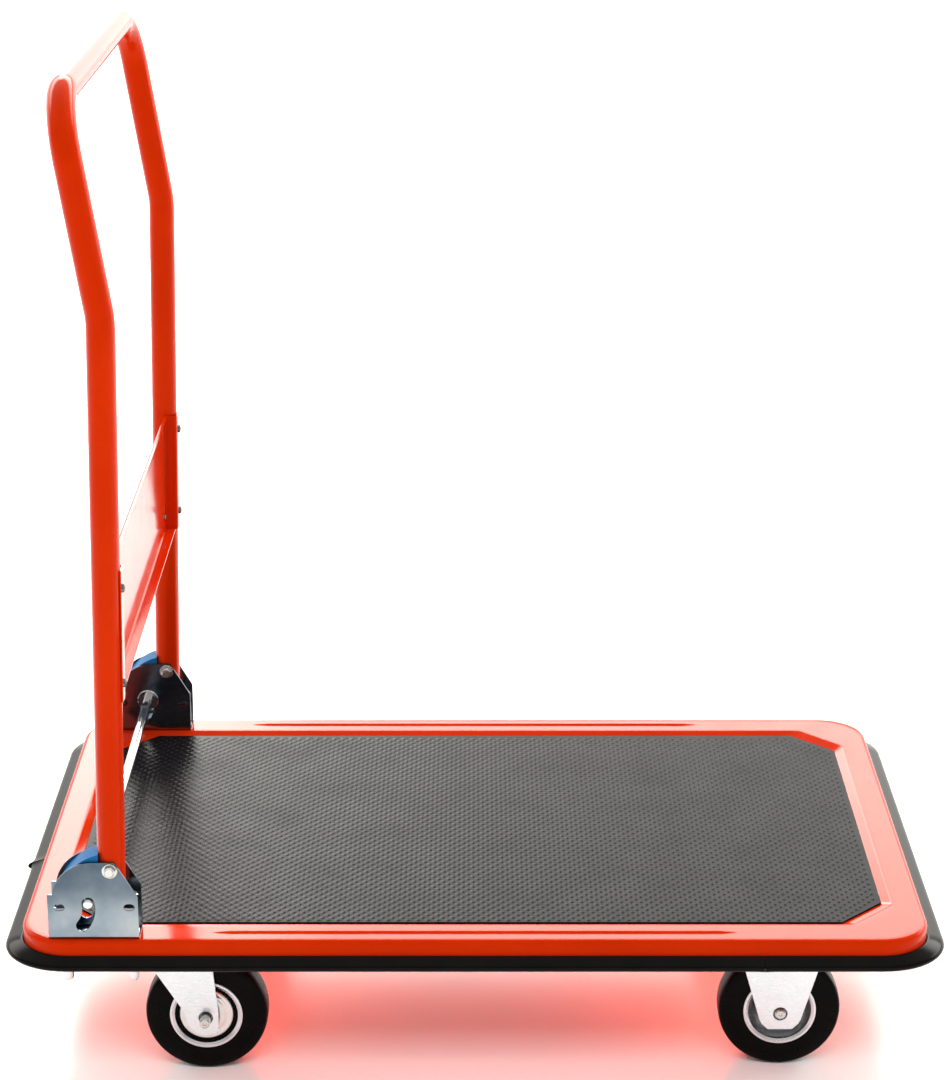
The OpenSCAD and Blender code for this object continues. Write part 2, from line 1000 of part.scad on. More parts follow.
// Pressed steel rim: barrel, web and hub shell
module rim(x, y) {
    half = tyre_w / 2;
    color(bright_steel)
        on_axle(x, y) {
            translate([26.5, -half + 1])
                square([2.5, tyre_w - 2]);
            for (s = side_signs)
                translate([28, s * (half - 0.5)])
                    square([3.5, 1], center = true);
            translate([14, -3])
                square([13, 6]);
            translate([12.5, -half + 4])
                square([2, tyre_w - 8]);
        }
}

module rim_rear_left() {
    rim(swivel_x + trail, swivel_y);
}

module rim_rear_right() {
    rim(swivel_x + trail, -swivel_y);
}

module rim_front_left() {
    rim(rigid_x, rigid_y);
}

module rim_front_right() {
    rim(rigid_x, -rigid_y);
}

// Plain bearing: a sleeve that runs on the axle bolt inside the hub shell
module bearing(x, y) {
    color(zinc)
        on_axle(x, y) {
            translate([axle_d / 2 + fit_gap, -hub_l / 2])
                square([hub_r - axle_d / 2 - fit_gap, hub_l]);
            translate([hub_r, -9])
                square([4.5, 18]);
        }
}

module bearing_rear_left() {
    bearing(swivel_x + trail, swivel_y);
}

module bearing_rear_right() {
    bearing(swivel_x + trail, -swivel_y);
}

module bearing_front_left() {
    bearing(rigid_x, rigid_y);
}

module bearing_front_right() {
    bearing(rigid_x, -rigid_y);
}

// Dished dust caps over both ends of the hub
module hub_caps(x, y) {
    face = tyre_w / 2 - 1;
    color(zinc)
        for (s = side_signs)
            on_axle(x, y)
                polygon([
                    [hub_r, s * (face + 1)], [16, s * (face + 1)], [18, s * face], [21, s * face], [22, s * (face - 1)],
                    [22, s * (face - 4)], [20.8, s * (face - 4)], [20.8, s * (face - 1.2)],
                    [17.5, s * (face - 1.2)], [15.5, s * (face - 0.2)], [hub_r, s * (face - 0.2)]
                ]);
}

module hub_caps_rear_left() {
    hub_caps(swivel_x + trail, swivel_y);
}

module hub_caps_rear_right() {
    hub_caps(swivel_x + trail, -swivel_y);
}

module hub_caps_front_left() {
    hub_caps(rigid_x, rigid_y);
}

module hub_caps_front_right() {
    hub_caps(rigid_x, -rigid_y);
}

deck_pan();
anti_slip_mat();
bumper_left();
bumper_right();
cross_member_rear();
cross_member_front();
hinge_bracket_left();
hinge_bracket_right();
bracket_bolts();
bracket_cap_nuts();
pivot_bolt_left();
pivot_bolt_right();
handle_tube();
cross_panel();
panel_screws();
finger_guard_left();
finger_guard_right();
lock_rod();
lock_levers();
rod_clip();
lever_pins();
return_springs();
caster_bolts();
caster_nuts();
swivel_plate_left();
swivel_plate_right();
swivel_fork_left();
swivel_fork_right();
swivel_balls_left();
swivel_balls_right();
kingpin_left();
kingpin_right();
rigid_fork_left();
rigid_fork_right();
axle_rear_left();
axle_rear_right();
axle_front_left();
axle_front_right();
tyre_rear_left();
tyre_rear_right();
tyre_front_left();
tyre_front_right();
rim_rear_left();
rim_rear_right();
rim_front_left();
rim_front_right();
bearing_rear_left();
bearing_rear_right();
bearing_front_left();
bearing_front_right();
hub_caps_rear_left();
hub_caps_rear_right();
hub_caps_front_left();
hub_caps_front_right();
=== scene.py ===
import json
import math

import bmesh
import bpy
from mathutils import Matrix, Vector
from mathutils.geometry import tessellate_polygon


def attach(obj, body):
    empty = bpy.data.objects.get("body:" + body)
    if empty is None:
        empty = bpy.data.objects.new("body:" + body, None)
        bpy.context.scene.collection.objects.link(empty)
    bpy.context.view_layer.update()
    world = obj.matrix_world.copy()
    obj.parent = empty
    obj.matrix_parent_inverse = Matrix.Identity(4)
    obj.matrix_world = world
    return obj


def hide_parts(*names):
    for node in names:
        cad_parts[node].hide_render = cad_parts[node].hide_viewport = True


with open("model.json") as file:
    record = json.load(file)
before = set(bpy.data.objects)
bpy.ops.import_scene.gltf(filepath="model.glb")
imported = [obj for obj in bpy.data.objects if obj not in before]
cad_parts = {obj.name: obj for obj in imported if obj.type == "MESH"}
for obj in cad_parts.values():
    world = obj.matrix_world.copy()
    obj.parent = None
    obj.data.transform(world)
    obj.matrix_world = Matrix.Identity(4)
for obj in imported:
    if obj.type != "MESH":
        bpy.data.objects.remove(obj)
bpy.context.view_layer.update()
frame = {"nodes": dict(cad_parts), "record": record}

# A flatbed platform truck with a folding handle. X runs along the deck with the handle at its low end, and Y
# runs across it. Meshes are made in millimetres and scaled to metres in piece().
MM = 0.001
SIDES = (("left", 1), ("right", -1))
WHEELS = [(end, side, sign) for end in ("rear", "front") for side, sign in SIDES]

# Sizes of the CAD model that the pieces below repeat, in millimetres
DECK_L, DECK_W, DECK_TOP, WALL_Z = 722, 462, 145, 121
CORNER_R, SHEET_T = 40, 1.5
MOUTH_L, MOUTH_W, MAT_CUT, FLOOR_Z = 673, 402, 36, 141.5
RIM_LIP = 1.3
MAT_L, MAT_W, MAT_TOP, STUD_H = 658, 387, 144, 0.8
BEAD_Y, BEAD_HALF = 216, 207
BULB_R, BULB_X, BULB_Z = 3.8, 5.2, 125.2
SEAM_X, SEAM_Y = 228, -50
PIVOT_X, PIVOT_Z, LEG_Y = -285, 204, 215
TUBE_R, TUBE_T = 11, 1.5
LOWER_LEAN, UPPER_LEAN, BEND_Z, HANDLE_TOP = 1.26, 9, 643, 816
BACK_R, TOP_R = 90, 45
PANEL_Z, PANEL_H = 342, 107
BRACKET_Y, BRACKET_T, BRACKET_FACE = 12.1, 1.6, 12.9
BRACKET_BOLTS_X, LANCES_X = (-323, -271), (-326, -271)
LEVER_PIN = (-326, 172)
ROD = (-302.96, 176.06)
SWIVEL_X, SWIVEL_Y, TRAIL = -249, 160, 30
RIGID_X, RIGID_Y = 249, 153
WHEEL_R, FORK_OUT, FORK_T = 50, 19.5, 2.5
PLATE_LOW, PLATE_HIGH, PLATE_BOLT_X, PLATE_BOLT_Y = 116, 119, 38, 28
BORE_R, KINGPIN_R = 4.02, 5.05


# ---- materials

def shader(name, metallic=0.0, **sockets):
    """A material with a Principled shader, and the constants set on its own sockets."""
    mat = bpy.data.materials.new(name)
    mat.use_nodes = True
    tree = mat.node_tree
    bsdf = tree.nodes["Principled BSDF"]
    bsdf.inputs["Metallic"].default_value = metallic
    for key, value in sockets.items():
        bsdf.inputs[key.replace("_", " ")].default_value = value
    coord = tree.nodes.new("ShaderNodeTexCoord")
    return mat, tree, bsdf, coord.outputs["Object"]


def scaled(tree, coord, scale):
    node = tree.nodes.new("ShaderNodeMapping")
    node.inputs["Scale"].default_value = scale
    tree.links.new(coord, node.inputs["Vector"])
    return node.outputs["Vector"]


def noise_at(tree, coord, scale, detail, rough=0.55):
    """Cloudy noise; the scale is in cells per metre."""
    node = tree.nodes.new("ShaderNodeTexNoise")
    node.inputs["Scale"].default_value = scale
    node.inputs["Detail"].default_value = detail
    node.inputs["Roughness"].default_value = rough
    tree.links.new(coord, node.inputs["Vector"])
    return node.outputs["Fac"]


def ramp(tree, factor, stops, target):
    """Maps a factor through a ramp of two stops, of colour or of grey, onto a socket."""
    node = tree.nodes.new("ShaderNodeValToRGB")
    for item, (place, value) in zip(node.color_ramp.elements, stops):
        item.position = place
        item.color = (*value, 1) if isinstance(value, tuple) else (value, value, value, 1)
    tree.links.new(factor, node.inputs["Fac"])
    tree.links.new(node.outputs["Color"], target)


def bump(tree, height, target, strength, distance):
    """Fine relief from a pattern; the distance is in metres."""
    node = tree.nodes.new("ShaderNodeBump")
    node.inputs["Strength"].default_value = strength
    node.inputs["Distance"].default_value = distance
    tree.links.new(height, node.inputs["Height"])
    tree.links.new(node.outputs["Normal"], target)


def mix_by_height(tree, at, low, high, interpolation, target):
    """Mixes two colours between two heights in millimetres; gives the sockets of the lower and the upper."""
    mix = tree.nodes.new("ShaderNodeMix")
    mix.data_type = "RGBA"
    parts = tree.nodes.new("ShaderNodeSeparateXYZ")
    tree.links.new(at, parts.inputs["Vector"])
    height = tree.nodes.new("ShaderNodeMapRange")
    height.interpolation_type = interpolation
    height.inputs["From Min"].default_value = low * MM
    height.inputs["From Max"].default_value = high * MM
    tree.links.new(parts.outputs["Z"], height.inputs["Value"])
    tree.links.new(height.outputs["Result"], mix.inputs["Factor"])
    tree.links.new(mix.outputs["Result"], target)
    return mix.inputs["A"], mix.inputs["B"]


def powder_coat(name, dark, light, ior):
    """Glossy orange paint with a slight orange peel."""
    mat, tree, bsdf, at = shader(name, IOR=ior, Specular_Tint=(1, 0.12, 0.03, 1))
    ramp(tree, noise_at(tree, at, 9, 4), [(0.35, dark), (0.65, light)], bsdf.inputs["Base Color"])
    ramp(tree, noise_at(tree, at, 40, 3), [(0.3, 0.07), (0.7, 0.13)], bsdf.inputs["Roughness"])
    bump(tree, noise_at(tree, at, 260, 2), bsdf.inputs["Normal"], 0.03, 0.0002)
    return mat


def rolled_gloss(tree, at, bsdf, brush, rough):
    """Fine rolling marks that stretch the gloss of a plate."""
    lines = noise_at(tree, scaled(tree, at, brush), 120, 4, 0.65)
    ramp(tree, lines, [(0.3, rough[0]), (0.7, rough[1])], bsdf.inputs["Roughness"])
    bump(tree, lines, bsdf.inputs["Normal"], 0.06, 0.0002)


def zinc_plate(name, dark, light, rough, brush=(1, 1, 14)):
    """Bright metal with a cloudy tone."""
    mat, tree, bsdf, at = shader(name, metallic=1.0)
    ramp(tree, noise_at(tree, at, 28, 4, 0.6), [(0.3, dark), (0.7, light)], bsdf.inputs["Base Color"])
    rolled_gloss(tree, at, bsdf, brush, rough)
    return mat


def bracket_plate_painted_shade(name):
    """Bright zinc plate with painted shade: its colour darkens towards the top of the brackets, standing in for
    the darker reflection there.
    """
    mat, tree, bsdf, at = shader(name, metallic=1.0)
    foot, top = mix_by_height(tree, at, 158, 198, "SMOOTHSTEP", bsdf.inputs["Base Color"])
    cloud = noise_at(tree, at, 16, 4, 0.6)
    # The top's colours are darker than the foot's: painted shade for the darker reflection high on the
    # brackets.
    ramp(tree, cloud, [(0.3, (0.19, 0.25, 0.31)), (0.7, (0.44, 0.48, 0.50))], foot)
    ramp(tree, cloud, [(0.3, (0.055, 0.085, 0.12)), (0.7, (0.17, 0.21, 0.25))], top)
    rolled_gloss(tree, at, bsdf, (1, 1, 14), (0.12, 0.24))
    return mat


def rubber(name, tone, rough, grain, strength, ior):
    """Black rubber with a patchy tone and a fine grain."""
    mat, tree, bsdf, at = shader(name, IOR=ior)
    dark = (tone * 0.8, tone * 0.78, tone * 0.85)
    light = (tone * 1.5, tone * 1.4, tone * 1.5)
    ramp(tree, noise_at(tree, at, 40, 4), [(0.35, dark), (0.7, light)], bsdf.inputs["Base Color"])
    ramp(tree, noise_at(tree, at, 90, 3), [(0.3, rough[0]), (0.7, rough[1])], bsdf.inputs["Roughness"])
    bump(tree, noise_at(tree, at, grain, 3), bsdf.inputs["Normal"], strength, 0.0003)
    return mat


def mat_surface(name):
    """Embossed PVC: cloudy dark grey between the studs, worn lighter on their tops, with a fine grain."""
    mat, tree, bsdf, at = shader(name, IOR=1.115)
    hollow, top = mix_by_height(tree, at, MAT_TOP - STUD_H * 0.7, MAT_TOP - STUD_H * 0.25, "LINEAR",
                                bsdf.inputs["Base Color"])
    ramp(tree, noise_at(tree, at, 14, 5, 0.65),
         [(0.3, (0.004, 0.0035, 0.0045)), (0.7, (0.009, 0.008, 0.010))], hollow)
    ramp(tree, noise_at(tree, at, 6, 4),
         [(0.3, (0.014, 0.013, 0.015)), (0.7, (0.030, 0.027, 0.032))], top)
    ramp(tree, noise_at(tree, at, 22, 5, 0.7), [(0.3, 0.20), (0.72, 0.30)], bsdf.inputs["Roughness"])
    bump(tree, noise_at(tree, at, 1400, 2), bsdf.inputs["Normal"], 0.12, 0.0002)
    return mat


def moulded_plastic(name):
    """Blue plastic with a fine moulded grain."""
    mat, tree, bsdf, at = shader(name, IOR=1.14)
    ramp(tree, noise_at(tree, at, 35, 3),
         [(0.3, (0.008, 0.14, 0.40)), (0.7, (0.011, 0.18, 0.48))], bsdf.inputs["Base Color"])
    ramp(tree, noise_at(tree, at, 80, 3), [(0.3, 0.28), (0.7, 0.4)], bsdf.inputs["Roughness"])
    bump(tree, noise_at(tree, at, 1500, 2), bsdf.inputs["Normal"], 0.1, 0.0002)
    return mat


EVEN = (1, 1, 1)
ORANGE_DARK, ORANGE_LIGHT = (0.70, 0.028, 0.001), (0.77, 0.034, 0.0015)
MATERIALS = {name: make(name, *values) for name, make, *values in (
    ("deck_paint", powder_coat, ORANGE_DARK, ORANGE_LIGHT, 1.3),
    ("handle_paint", powder_coat, ORANGE_DARK, ORANGE_LIGHT, 1.5),
    ("mat_pvc", mat_surface),
    ("bumper_rubber", rubber, 0.003, (0.1, 0.18), 900, 0.05, 1.18),
    ("bracket_zinc", bracket_plate_painted_shade),
    ("fastener_zinc", zinc_plate, (0.60, 0.60, 0.60), (0.74, 0.73, 0.71), (0.16, 0.3), EVEN),
    ("bright_rod", zinc_plate, (0.72, 0.73, 0.75), (0.82, 0.83, 0.84), (0.05, 0.16), (1, 8, 1)),
    ("guard_plastic", moulded_plastic),
    ("caster_zinc", zinc_plate, (0.82, 0.86, 0.90), (0.90, 0.93, 0.96), (0.22, 0.36)),
    ("ball_steel", zinc_plate, (0.14, 0.15, 0.16), (0.20, 0.21, 0.22), (0.2, 0.3), EVEN),
    ("tyre_rubber", rubber, 0.0025, (0.24, 0.34), 1200, 0.08, 1.14),
    ("rim_steel", zinc_plate, (0.72, 0.72, 0.76), (0.84, 0.84, 0.88), (0.24, 0.36), EVEN),
    ("hub_zinc", zinc_plate, (0.80, 0.77, 0.75), (0.90, 0.88, 0.87), (0.24, 0.36), EVEN),
)}


# ---- mesh tools

def add_object(name, data):
    obj = bpy.data.objects.new(name, data)
    bpy.context.scene.collection.objects.link(obj)
    return obj


def piece(name, bm, body, slot, replaces, sharp=35, bevel=0.0, segments=2):
    """Turns a bmesh in millimetres into a piece of the object."""
    bmesh.ops.remove_doubles(bm, verts=bm.verts, dist=0.002)
    bmesh.ops.recalc_face_normals(bm, faces=bm.faces)
    bmesh.ops.scale(bm, vec=(MM, MM, MM), verts=bm.verts)
    mesh = bpy.data.meshes.new(name)
    bm.to_mesh(mesh)
    bm.free()
    mesh.shade_smooth()
    mesh.set_sharp_from_angle(angle=math.radians(sharp))
    mesh.materials.append(MATERIALS[slot])
    obj = add_object(name, mesh)
    if bevel:
        soften(obj, bevel * MM, segments)
    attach(obj, body)
    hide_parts(*replaces)


def soften(obj, width, segments=2):
    """Rounds the sharp edges of a piece."""
    mod = obj.modifiers.new("soft_edges", "BEVEL")
    mod.width = width
    mod.segments = segments
    mod.limit_method = "ANGLE"
    mod.angle_limit = math.radians(38)
    mod.harden_normals = True
    mod.use_clamp_overlap = True


def loft(bm, rings, closed=True, caps=False):
    """Joins rings with equal numbers of points into a skin."""
    rows = [[bm.verts.new(p) for p in ring] for ring in rings]
    last = len(rows[0]) if closed else len(rows[0]) - 1
    for a, b in zip(rows, rows[1:]):
        for i in range(last):
            j = (i + 1) % len(a)
            bm.faces.new((a[i], a[j], b[j], b[i]))
    if caps:
        bm.faces.new(rows[0])
        bm.faces.new(rows[-1])


def prism(loops, place):
    """A solid between two copies of a flat outline with holes; place(u, v, end) puts a point in space."""
    bm = bmesh.new()
    flat = [Vector((u, v, 0)) for loop in loops for u, v in loop]
    triangles = tessellate_polygon([[Vector((u, v, 0)) for u, v in loop] for loop in loops])
    rows = [[bm.verts.new(place(p.x, p.y, end)) for p in flat] for end in (0, 1)]
    for row in rows:
        for triangle in triangles:
            bm.faces.new([row[i] for i in triangle])
    start = 0
    for loop in loops:
        count = len(loop)
        for i in range(count):
            a, b = start + i, start + (i + 1) % count
            bm.faces.new((rows[0][a], rows[0][b], rows[1][b], rows[1][a]))
        start += count
    bmesh.ops.recalc_face_normals(bm, faces=bm.faces)
    return bm


def prism_y(loops, y0, y1):
    """A prism along Y with its outline in X and Z."""
    return prism(loops, lambda u, v, end: (u, y1 if end else y0, v))


def prism_x(loops, x0, x1):
    """A prism along X with its outline in Y and Z."""
    return prism(loops, lambda u, v, end: (x1 if end else x0, u, v))


def join(*meshes):
    """Puts several bmeshes into the first one."""
    first, *others = meshes
    for other in others:
        temp = bpy.data.meshes.new("temp")
        other.to_mesh(temp)
        other.free()
        first.from_mesh(temp)
        bpy.data.meshes.remove(temp)
    return first


def spot(x, y, z):
    return Matrix.Translation((x, y, z))


def turn(angle, axis):
    return Matrix.Rotation(math.radians(angle), 4, axis)


def moved(bm, matrix):
    bmesh.ops.transform(bm, matrix=matrix, verts=bm.verts)
    return bm


def combine(bm, other, operation):
    """Boolean of two closed bmeshes."""
    objects = []
    for source in (bm, other):
        bmesh.ops.recalc_face_normals(source, faces=source.faces)
        mesh = bpy.data.meshes.new("temp")
        source.to_mesh(mesh)
        source.free()
        objects.append(add_object("temp", mesh))
    mod = objects[0].modifiers.new("cut", "BOOLEAN")
    mod.solver = "EXACT"
    mod.operation = operation
    mod.object = objects[1]
    graph = bpy.context.evaluated_depsgraph_get()
    result = bmesh.new()
    result.from_mesh(objects[0].evaluated_get(graph).to_mesh())
    for obj in objects:
        mesh = obj.data
        bpy.data.objects.remove(obj)
        bpy.data.meshes.remove(mesh)
    return result


def arc(centre, radius, start, end, steps):
    """Points along an arc, angles in degrees."""
    angles = [math.radians(start + (end - start) * i / steps) for i in range(steps + 1)]
    return [(centre[0] + radius * math.cos(a), centre[1] + radius * math.sin(a)) for a in angles]


def disc(centre, radius, steps=32):
    return arc(centre, radius, 0, 360 * (steps - 1) / steps, steps - 1)


def fillet(before, here, after, radius, steps):
    """Points round a corner, or the corner alone where it has no radius or hardly bends."""
    here = Vector(here)
    before, after = (Vector(before) - here).normalized(), (Vector(after) - here).normalized()
    half = before.angle(after) / 2
    if radius < 0.01 or half > 1.5:
        return [tuple(here)]
    reach = radius / math.tan(half)
    centre = here + (before + after).normalized() * (radius / math.sin(half))
    first = here + before * reach - centre
    swing = (here + after * reach - centre).angle_signed(first)
    out = []
    for k in range(steps + 1):
        angle = swing * k / steps
        c, s = math.cos(angle), math.sin(angle)
        out.append((centre.x + first.x * c - first.y * s, centre.y + first.x * s + first.y * c))
    return out


def rounded(points, radius):
    """A closed outline with its corners rounded; radius is one number, or a list with one for each corner."""
    radii = radius if isinstance(radius, list) else [radius] * len(points)
    out = []
    for i, here in enumerate(points):
        out += fillet(points[i - 1], here, points[(i + 1) % len(points)], radii[i], 5)
    return out


def sheet_profile(path, thick, radius):
    """Closed outline of a bent sheet that follows an open path of its middle line."""
    line = [Vector(path[0])]
    for before, here, after in zip(path, path[1:], path[2:]):
        line += [Vector(point) for point in fillet(before, here, after, radius, 6)]
    line.append(Vector(path[-1]))
    left, right = [], []
    for i, point in enumerate(line):
        along = (line[min(i + 1, len(line) - 1)] - line[max(i - 1, 0)]).normalized()
        side = Vector((-along.y, along.x)) * thick / 2
        left.append(tuple(point + side))
        right.append(tuple(point - side))
    return left + right[::-1]


def lathe(profile, centre, steps, axis="Y"):
    """Turns a closed profile of (radius, place along the axis) round the axis; a radius of 0 closes on it."""
    bm = bmesh.new()
    rings = []
    for k in range(steps):
        angle = 2 * math.pi * k / steps
        c, s = math.cos(angle), math.sin(angle)
        if axis == "Y":
            rings.append([(centre[0] + r * c, centre[1] + w, centre[2] + r * s) for r, w in profile])
        else:
            rings.append([(centre[0] + r * c, centre[1] + r * s, centre[2] + w) for r, w in profile])
    loft(bm, rings + [rings[0]])
    bmesh.ops.remove_doubles(bm, verts=bm.verts, dist=0.002)
    bmesh.ops.dissolve_degenerate(bm, edges=bm.edges, dist=0.001)
    return bm


def hexagon(centre, across, twist):
    return arc(centre, across / 2 / math.cos(math.pi / 6), twist, twist + 300, 5)


def hex_head(centre, across, height, outward, twist):
    """A hexagon along Y that stands on centre, grows towards outward and has a chamfered outer face."""
    body = prism_y([hexagon((centre[0], centre[2]), across, twist)],
                   *sorted((centre[1], centre[1] + outward * height)))
    r = across / 2 / math.cos(math.pi / 6)
    crown = lathe([(0, -0.5), (r + 1, -0.5), (r + 1, height - 1.2), (across / 2 - 0.1, height), (0, height)]
                  if outward > 0 else
                  [(0, 0.5), (r + 1, 0.5), (r + 1, 1.2 - height), (across / 2 - 0.1, -height), (0, -height)],
                  centre, 48)
    return combine(body, crown, "INTERSECT")


# ---- deck

def plan_ring(half_l, half_w, cut, z, round_corner):
    """A ring round the deck in plan: straight sides, and corners that are round or cut off at 45 degrees."""
    # Places along a side: evenly, and closer together where the beads end
    places = [-1 + 2 * i / 64 for i in range(1, 64)]
    places = sorted(set(places + [side * (0.56 + 0.18 * i / 60) for i in range(61) for side in (1, -1)]))
    steps = 10
    ring = []
    for k, (sx, sy) in enumerate(((1, 1), (-1, 1), (-1, -1), (1, -1))):
        cx, cy = sx * (half_l - cut), sy * (half_w - cut)
        start = math.radians(90 * k)
        first = (cx + cut * math.cos(start), cy + cut * math.sin(start))
        last = (cx - cut * math.sin(start), cy + cut * math.cos(start))
        for i in range(steps + 1):
            if round_corner:
                a = start + math.pi / 2 * i / steps
                ring.append((cx + cut * math.cos(a), cy + cut * math.sin(a), z))
            else:
                t = i / steps
                ring.append((first[0] + (last[0] - first[0]) * t, first[1] + (last[1] - first[1]) * t, z))
        straight = half_l - cut if k % 2 == 0 else half_w - cut
        for p in places:
            reach = p * straight
            ring.append(((-reach, half_w, z), (-half_l, -reach, z), (reach, -half_w, z), (half_l, reach, z))[k])
    return ring


def wall_ring(inset, z):
    """A ring of the deck's outer wall, which has round corners."""
    return plan_ring(DECK_L / 2 - inset, DECK_W / 2 - inset, CORNER_R - inset, z, True)


def mouth_ring(inset, z):
    """A ring of the sunk middle, which has its corners cut off."""
    return plan_ring(MOUTH_L / 2 - inset, MOUTH_W / 2 - inset, MAT_CUT, z, False)


def blend_ring(a, b, t, z):
    """A ring part of the way from one ring to another."""
    return [(p[0] + (q[0] - p[0]) * t, p[1] + (q[1] - p[1]) * t, z) for p, q in zip(a, b)]


def bead_depth(x, y):
    """Depth of the groove pressed into each side rim, which ends in points."""
    depth, half_width, point = 1.3, 3.4, 14
    taper = min(1.0, max(0.0, (BEAD_HALF - abs(x)) / point)) ** 0.7
    width = half_width * taper
    off = abs(abs(y) - BEAD_Y)
    if width < 0.05 or off >= width:
        return 0.0
    return depth * taper * 0.5 * (1 + math.cos(math.pi * off / width))


def deck_shell():
    """The pressed deck as one sheet: wall, rounded edge, rim with its beads, slope, floor, and the inside."""
    edge = 3.6
    outside = [wall_ring(0.6, WALL_Z), wall_ring(0, WALL_Z + 0.7), wall_ring(0, DECK_TOP - edge - 4)]
    for k in range(7):
        a = math.pi / 2 * k / 6
        outside.append(wall_ring(edge * (1 - math.cos(a)), DECK_TOP - edge * (1 - math.sin(a))))
    flat_edge = outside[-1]
    mouth = [mouth_ring(-RIM_LIP, DECK_TOP)]
    first_y, last_y = DECK_W / 2 - edge, MOUTH_W / 2 + RIM_LIP
    # Rings over the rim, closer together across the bead
    across = [224.5, 221.5] + [219.6 - 0.4 * i for i in range(19)] + [210, 206.5]
    rim = []
    for y in across:
        ring = blend_ring(flat_edge, mouth[0], (first_y - y) / (first_y - last_y), DECK_TOP)
        rim.append([(px, py, pz - bead_depth(px, py)) for px, py, pz in ring])
    drop = DECK_TOP - FLOOR_Z
    for inset, z in ((-0.4, -0.12), (0.5, -0.5), (3.5, -drop / 2), (6.5, -drop + 0.5), (7.4, -drop + 0.12),
                     (8.4, -drop)):
        mouth.append(mouth_ring(inset, DECK_TOP + z))
    inside = [
        mouth_ring(8, FLOOR_Z - SHEET_T),
        mouth_ring(6, FLOOR_Z - SHEET_T + 0.3),
        mouth_ring(-RIM_LIP, DECK_TOP - SHEET_T),
        wall_ring(edge, DECK_TOP - SHEET_T),
        wall_ring(SHEET_T, DECK_TOP - edge),
        wall_ring(SHEET_T, WALL_Z),
    ]
    bm = bmesh.new()
    loft(bm, outside + rim + mouth + inside + [outside[0]])
    bmesh.ops.remove_doubles(bm, verts=bm.verts, dist=0.001)
    return bm


def make_deck():
    """The deck, with its floor closed above and below."""
    bm = deck_shell()
    bmesh.ops.holes_fill(bm, edges=[e for e in bm.edges if len(e.link_faces) < 2], sides=0)
    piece("deck_shell", bm, "deck", "deck_paint", ["deck_pan"], sharp=50)


def make_mat():
    """The anti-slip mat: a slab whose top is a close lattice of raised studs, inside a plain margin."""
    step_x, step_y, margin, diagonal = 2.0, 2.37, 4.0, 0.707
    nx, ny = round(MAT_L / step_x), round(MAT_W / step_y)
    corner = (MAT_L + MAT_W) / 2 - MAT_CUT
    bm = bmesh.new()
    rows = []
    for j in range(ny + 1):
        y = MAT_W * (j / ny - 0.5)
        row = []
        for i in range(nx + 1):
            x = MAT_L * (i / nx - 0.5)
            cut = corner - abs(x) - abs(y)
            edge = min(MAT_L / 2 - abs(x), MAT_W / 2 - abs(y), cut * diagonal)
            raised = j % 2 == 0 and (i + j) % 4 == 0 and edge > margin
            row.append(bm.verts.new((x, y, MAT_TOP - (0 if raised else STUD_H))))
        rows.append(row)
    for a, b in zip(rows, rows[1:]):
        for i in range(nx):
            p, q, r, t = a[i], a[i + 1], b[i + 1], b[i]
            if max(p.co.z, r.co.z) > max(q.co.z, t.co.z):
                bm.faces.new((p, q, r))
                bm.faces.new((p, r, t))
            elif max(q.co.z, t.co.z) > p.co.z:
                bm.faces.new((p, q, t))
                bm.faces.new((q, r, t))
            else:
                bm.faces.new((p, q, r, t))
    for sx in (1, -1):
        for sy in (1, -1):
            geom = bm.verts[:] + bm.edges[:] + bm.faces[:]
            bmesh.ops.bisect_plane(bm, geom=geom, dist=0.001, plane_co=(sx * corner, 0, 0),
                                   plane_no=(sx, sy, 0), clear_outer=True)
    rim = [e for e in bm.edges if len(e.link_faces) == 1]
    skirt = bmesh.ops.extrude_edge_only(bm, edges=rim)["geom"]
    for v in skirt:
        if isinstance(v, bmesh.types.BMVert):
            v.co.z = FLOOR_Z
    bmesh.ops.holes_fill(bm, edges=[e for e in bm.edges if len(e.link_faces) == 1], sides=0)
    piece("mat_lattice", bm, "deck", "mat_pvc", ["anti_slip_mat"], sharp=60)


# ---- bumper

def deck_corners():
    """Points round the four corners of the deck's wall with their outward directions, anticlockwise."""
    half_l, half_w, r = DECK_L / 2, DECK_W / 2, CORNER_R
    track = []
    for k, (sx, sy) in enumerate([(1, -1), (1, 1), (-1, 1), (-1, -1)]):
        cx, cy = sx * (half_l - r), sy * (half_w - r)
        first = math.radians(-90 + 90 * k)
        corner = []
        for i in range(13):
            a = first + math.pi / 2 * i / 12
            corner.append(((cx + r * math.cos(a), cy + r * math.sin(a)), (math.cos(a), math.sin(a))))
        track.append(corner)
    return track


# Distance out from the wall and height: the bulb outside, the lip under the wall, and the hook behind it
BUMPER_SECTION = (
    [(0, 131.6), (0.3, 132.3), (0.9, 132.5), (1.7, 131.9), (3.4, 130.8), (5.2, 129.7)]
    + arc((BULB_X, BULB_Z), BULB_R, 60, -90, 14)
    + [(4.0, 121.3), (2.4, 121.0), (1.5, 120.4), (1.2, 119.5), (0.6, 119.0), (-4.0, 119.0), (-4.4, 119.4),
       (-4.4, 127.4), (-4.0, 127.9), (-2.4, 127.9), (-1.7, 127.4), (-1.6, 121.4), (-1.2, 121.0),
       (-0.1, 121.0), (0, 122.0), (0, 128)]
)


def bumper_strip(name, node, stations):
    """One length of bumper; a station is (place, outward direction, how far its free end lifts off)."""
    rings = []
    for (x, y), (nx, ny), lift in stations:
        thicker = 1 + 0.6 * abs(nx) ** 1.6   # the bumper stands out further at the deck's ends
        ring = []
        for out, z in BUMPER_SECTION:
            reach = out * thicker + lift * max(out + 1, 0) / 8 if out > 0 else out
            ring.append((x + nx * reach, y + ny * reach, z))
        rings.append(ring)
    bm = bmesh.new()
    loft(bm, rings, caps=True)
    piece(name, bm, "deck", "bumper_rubber", [node], sharp=50)


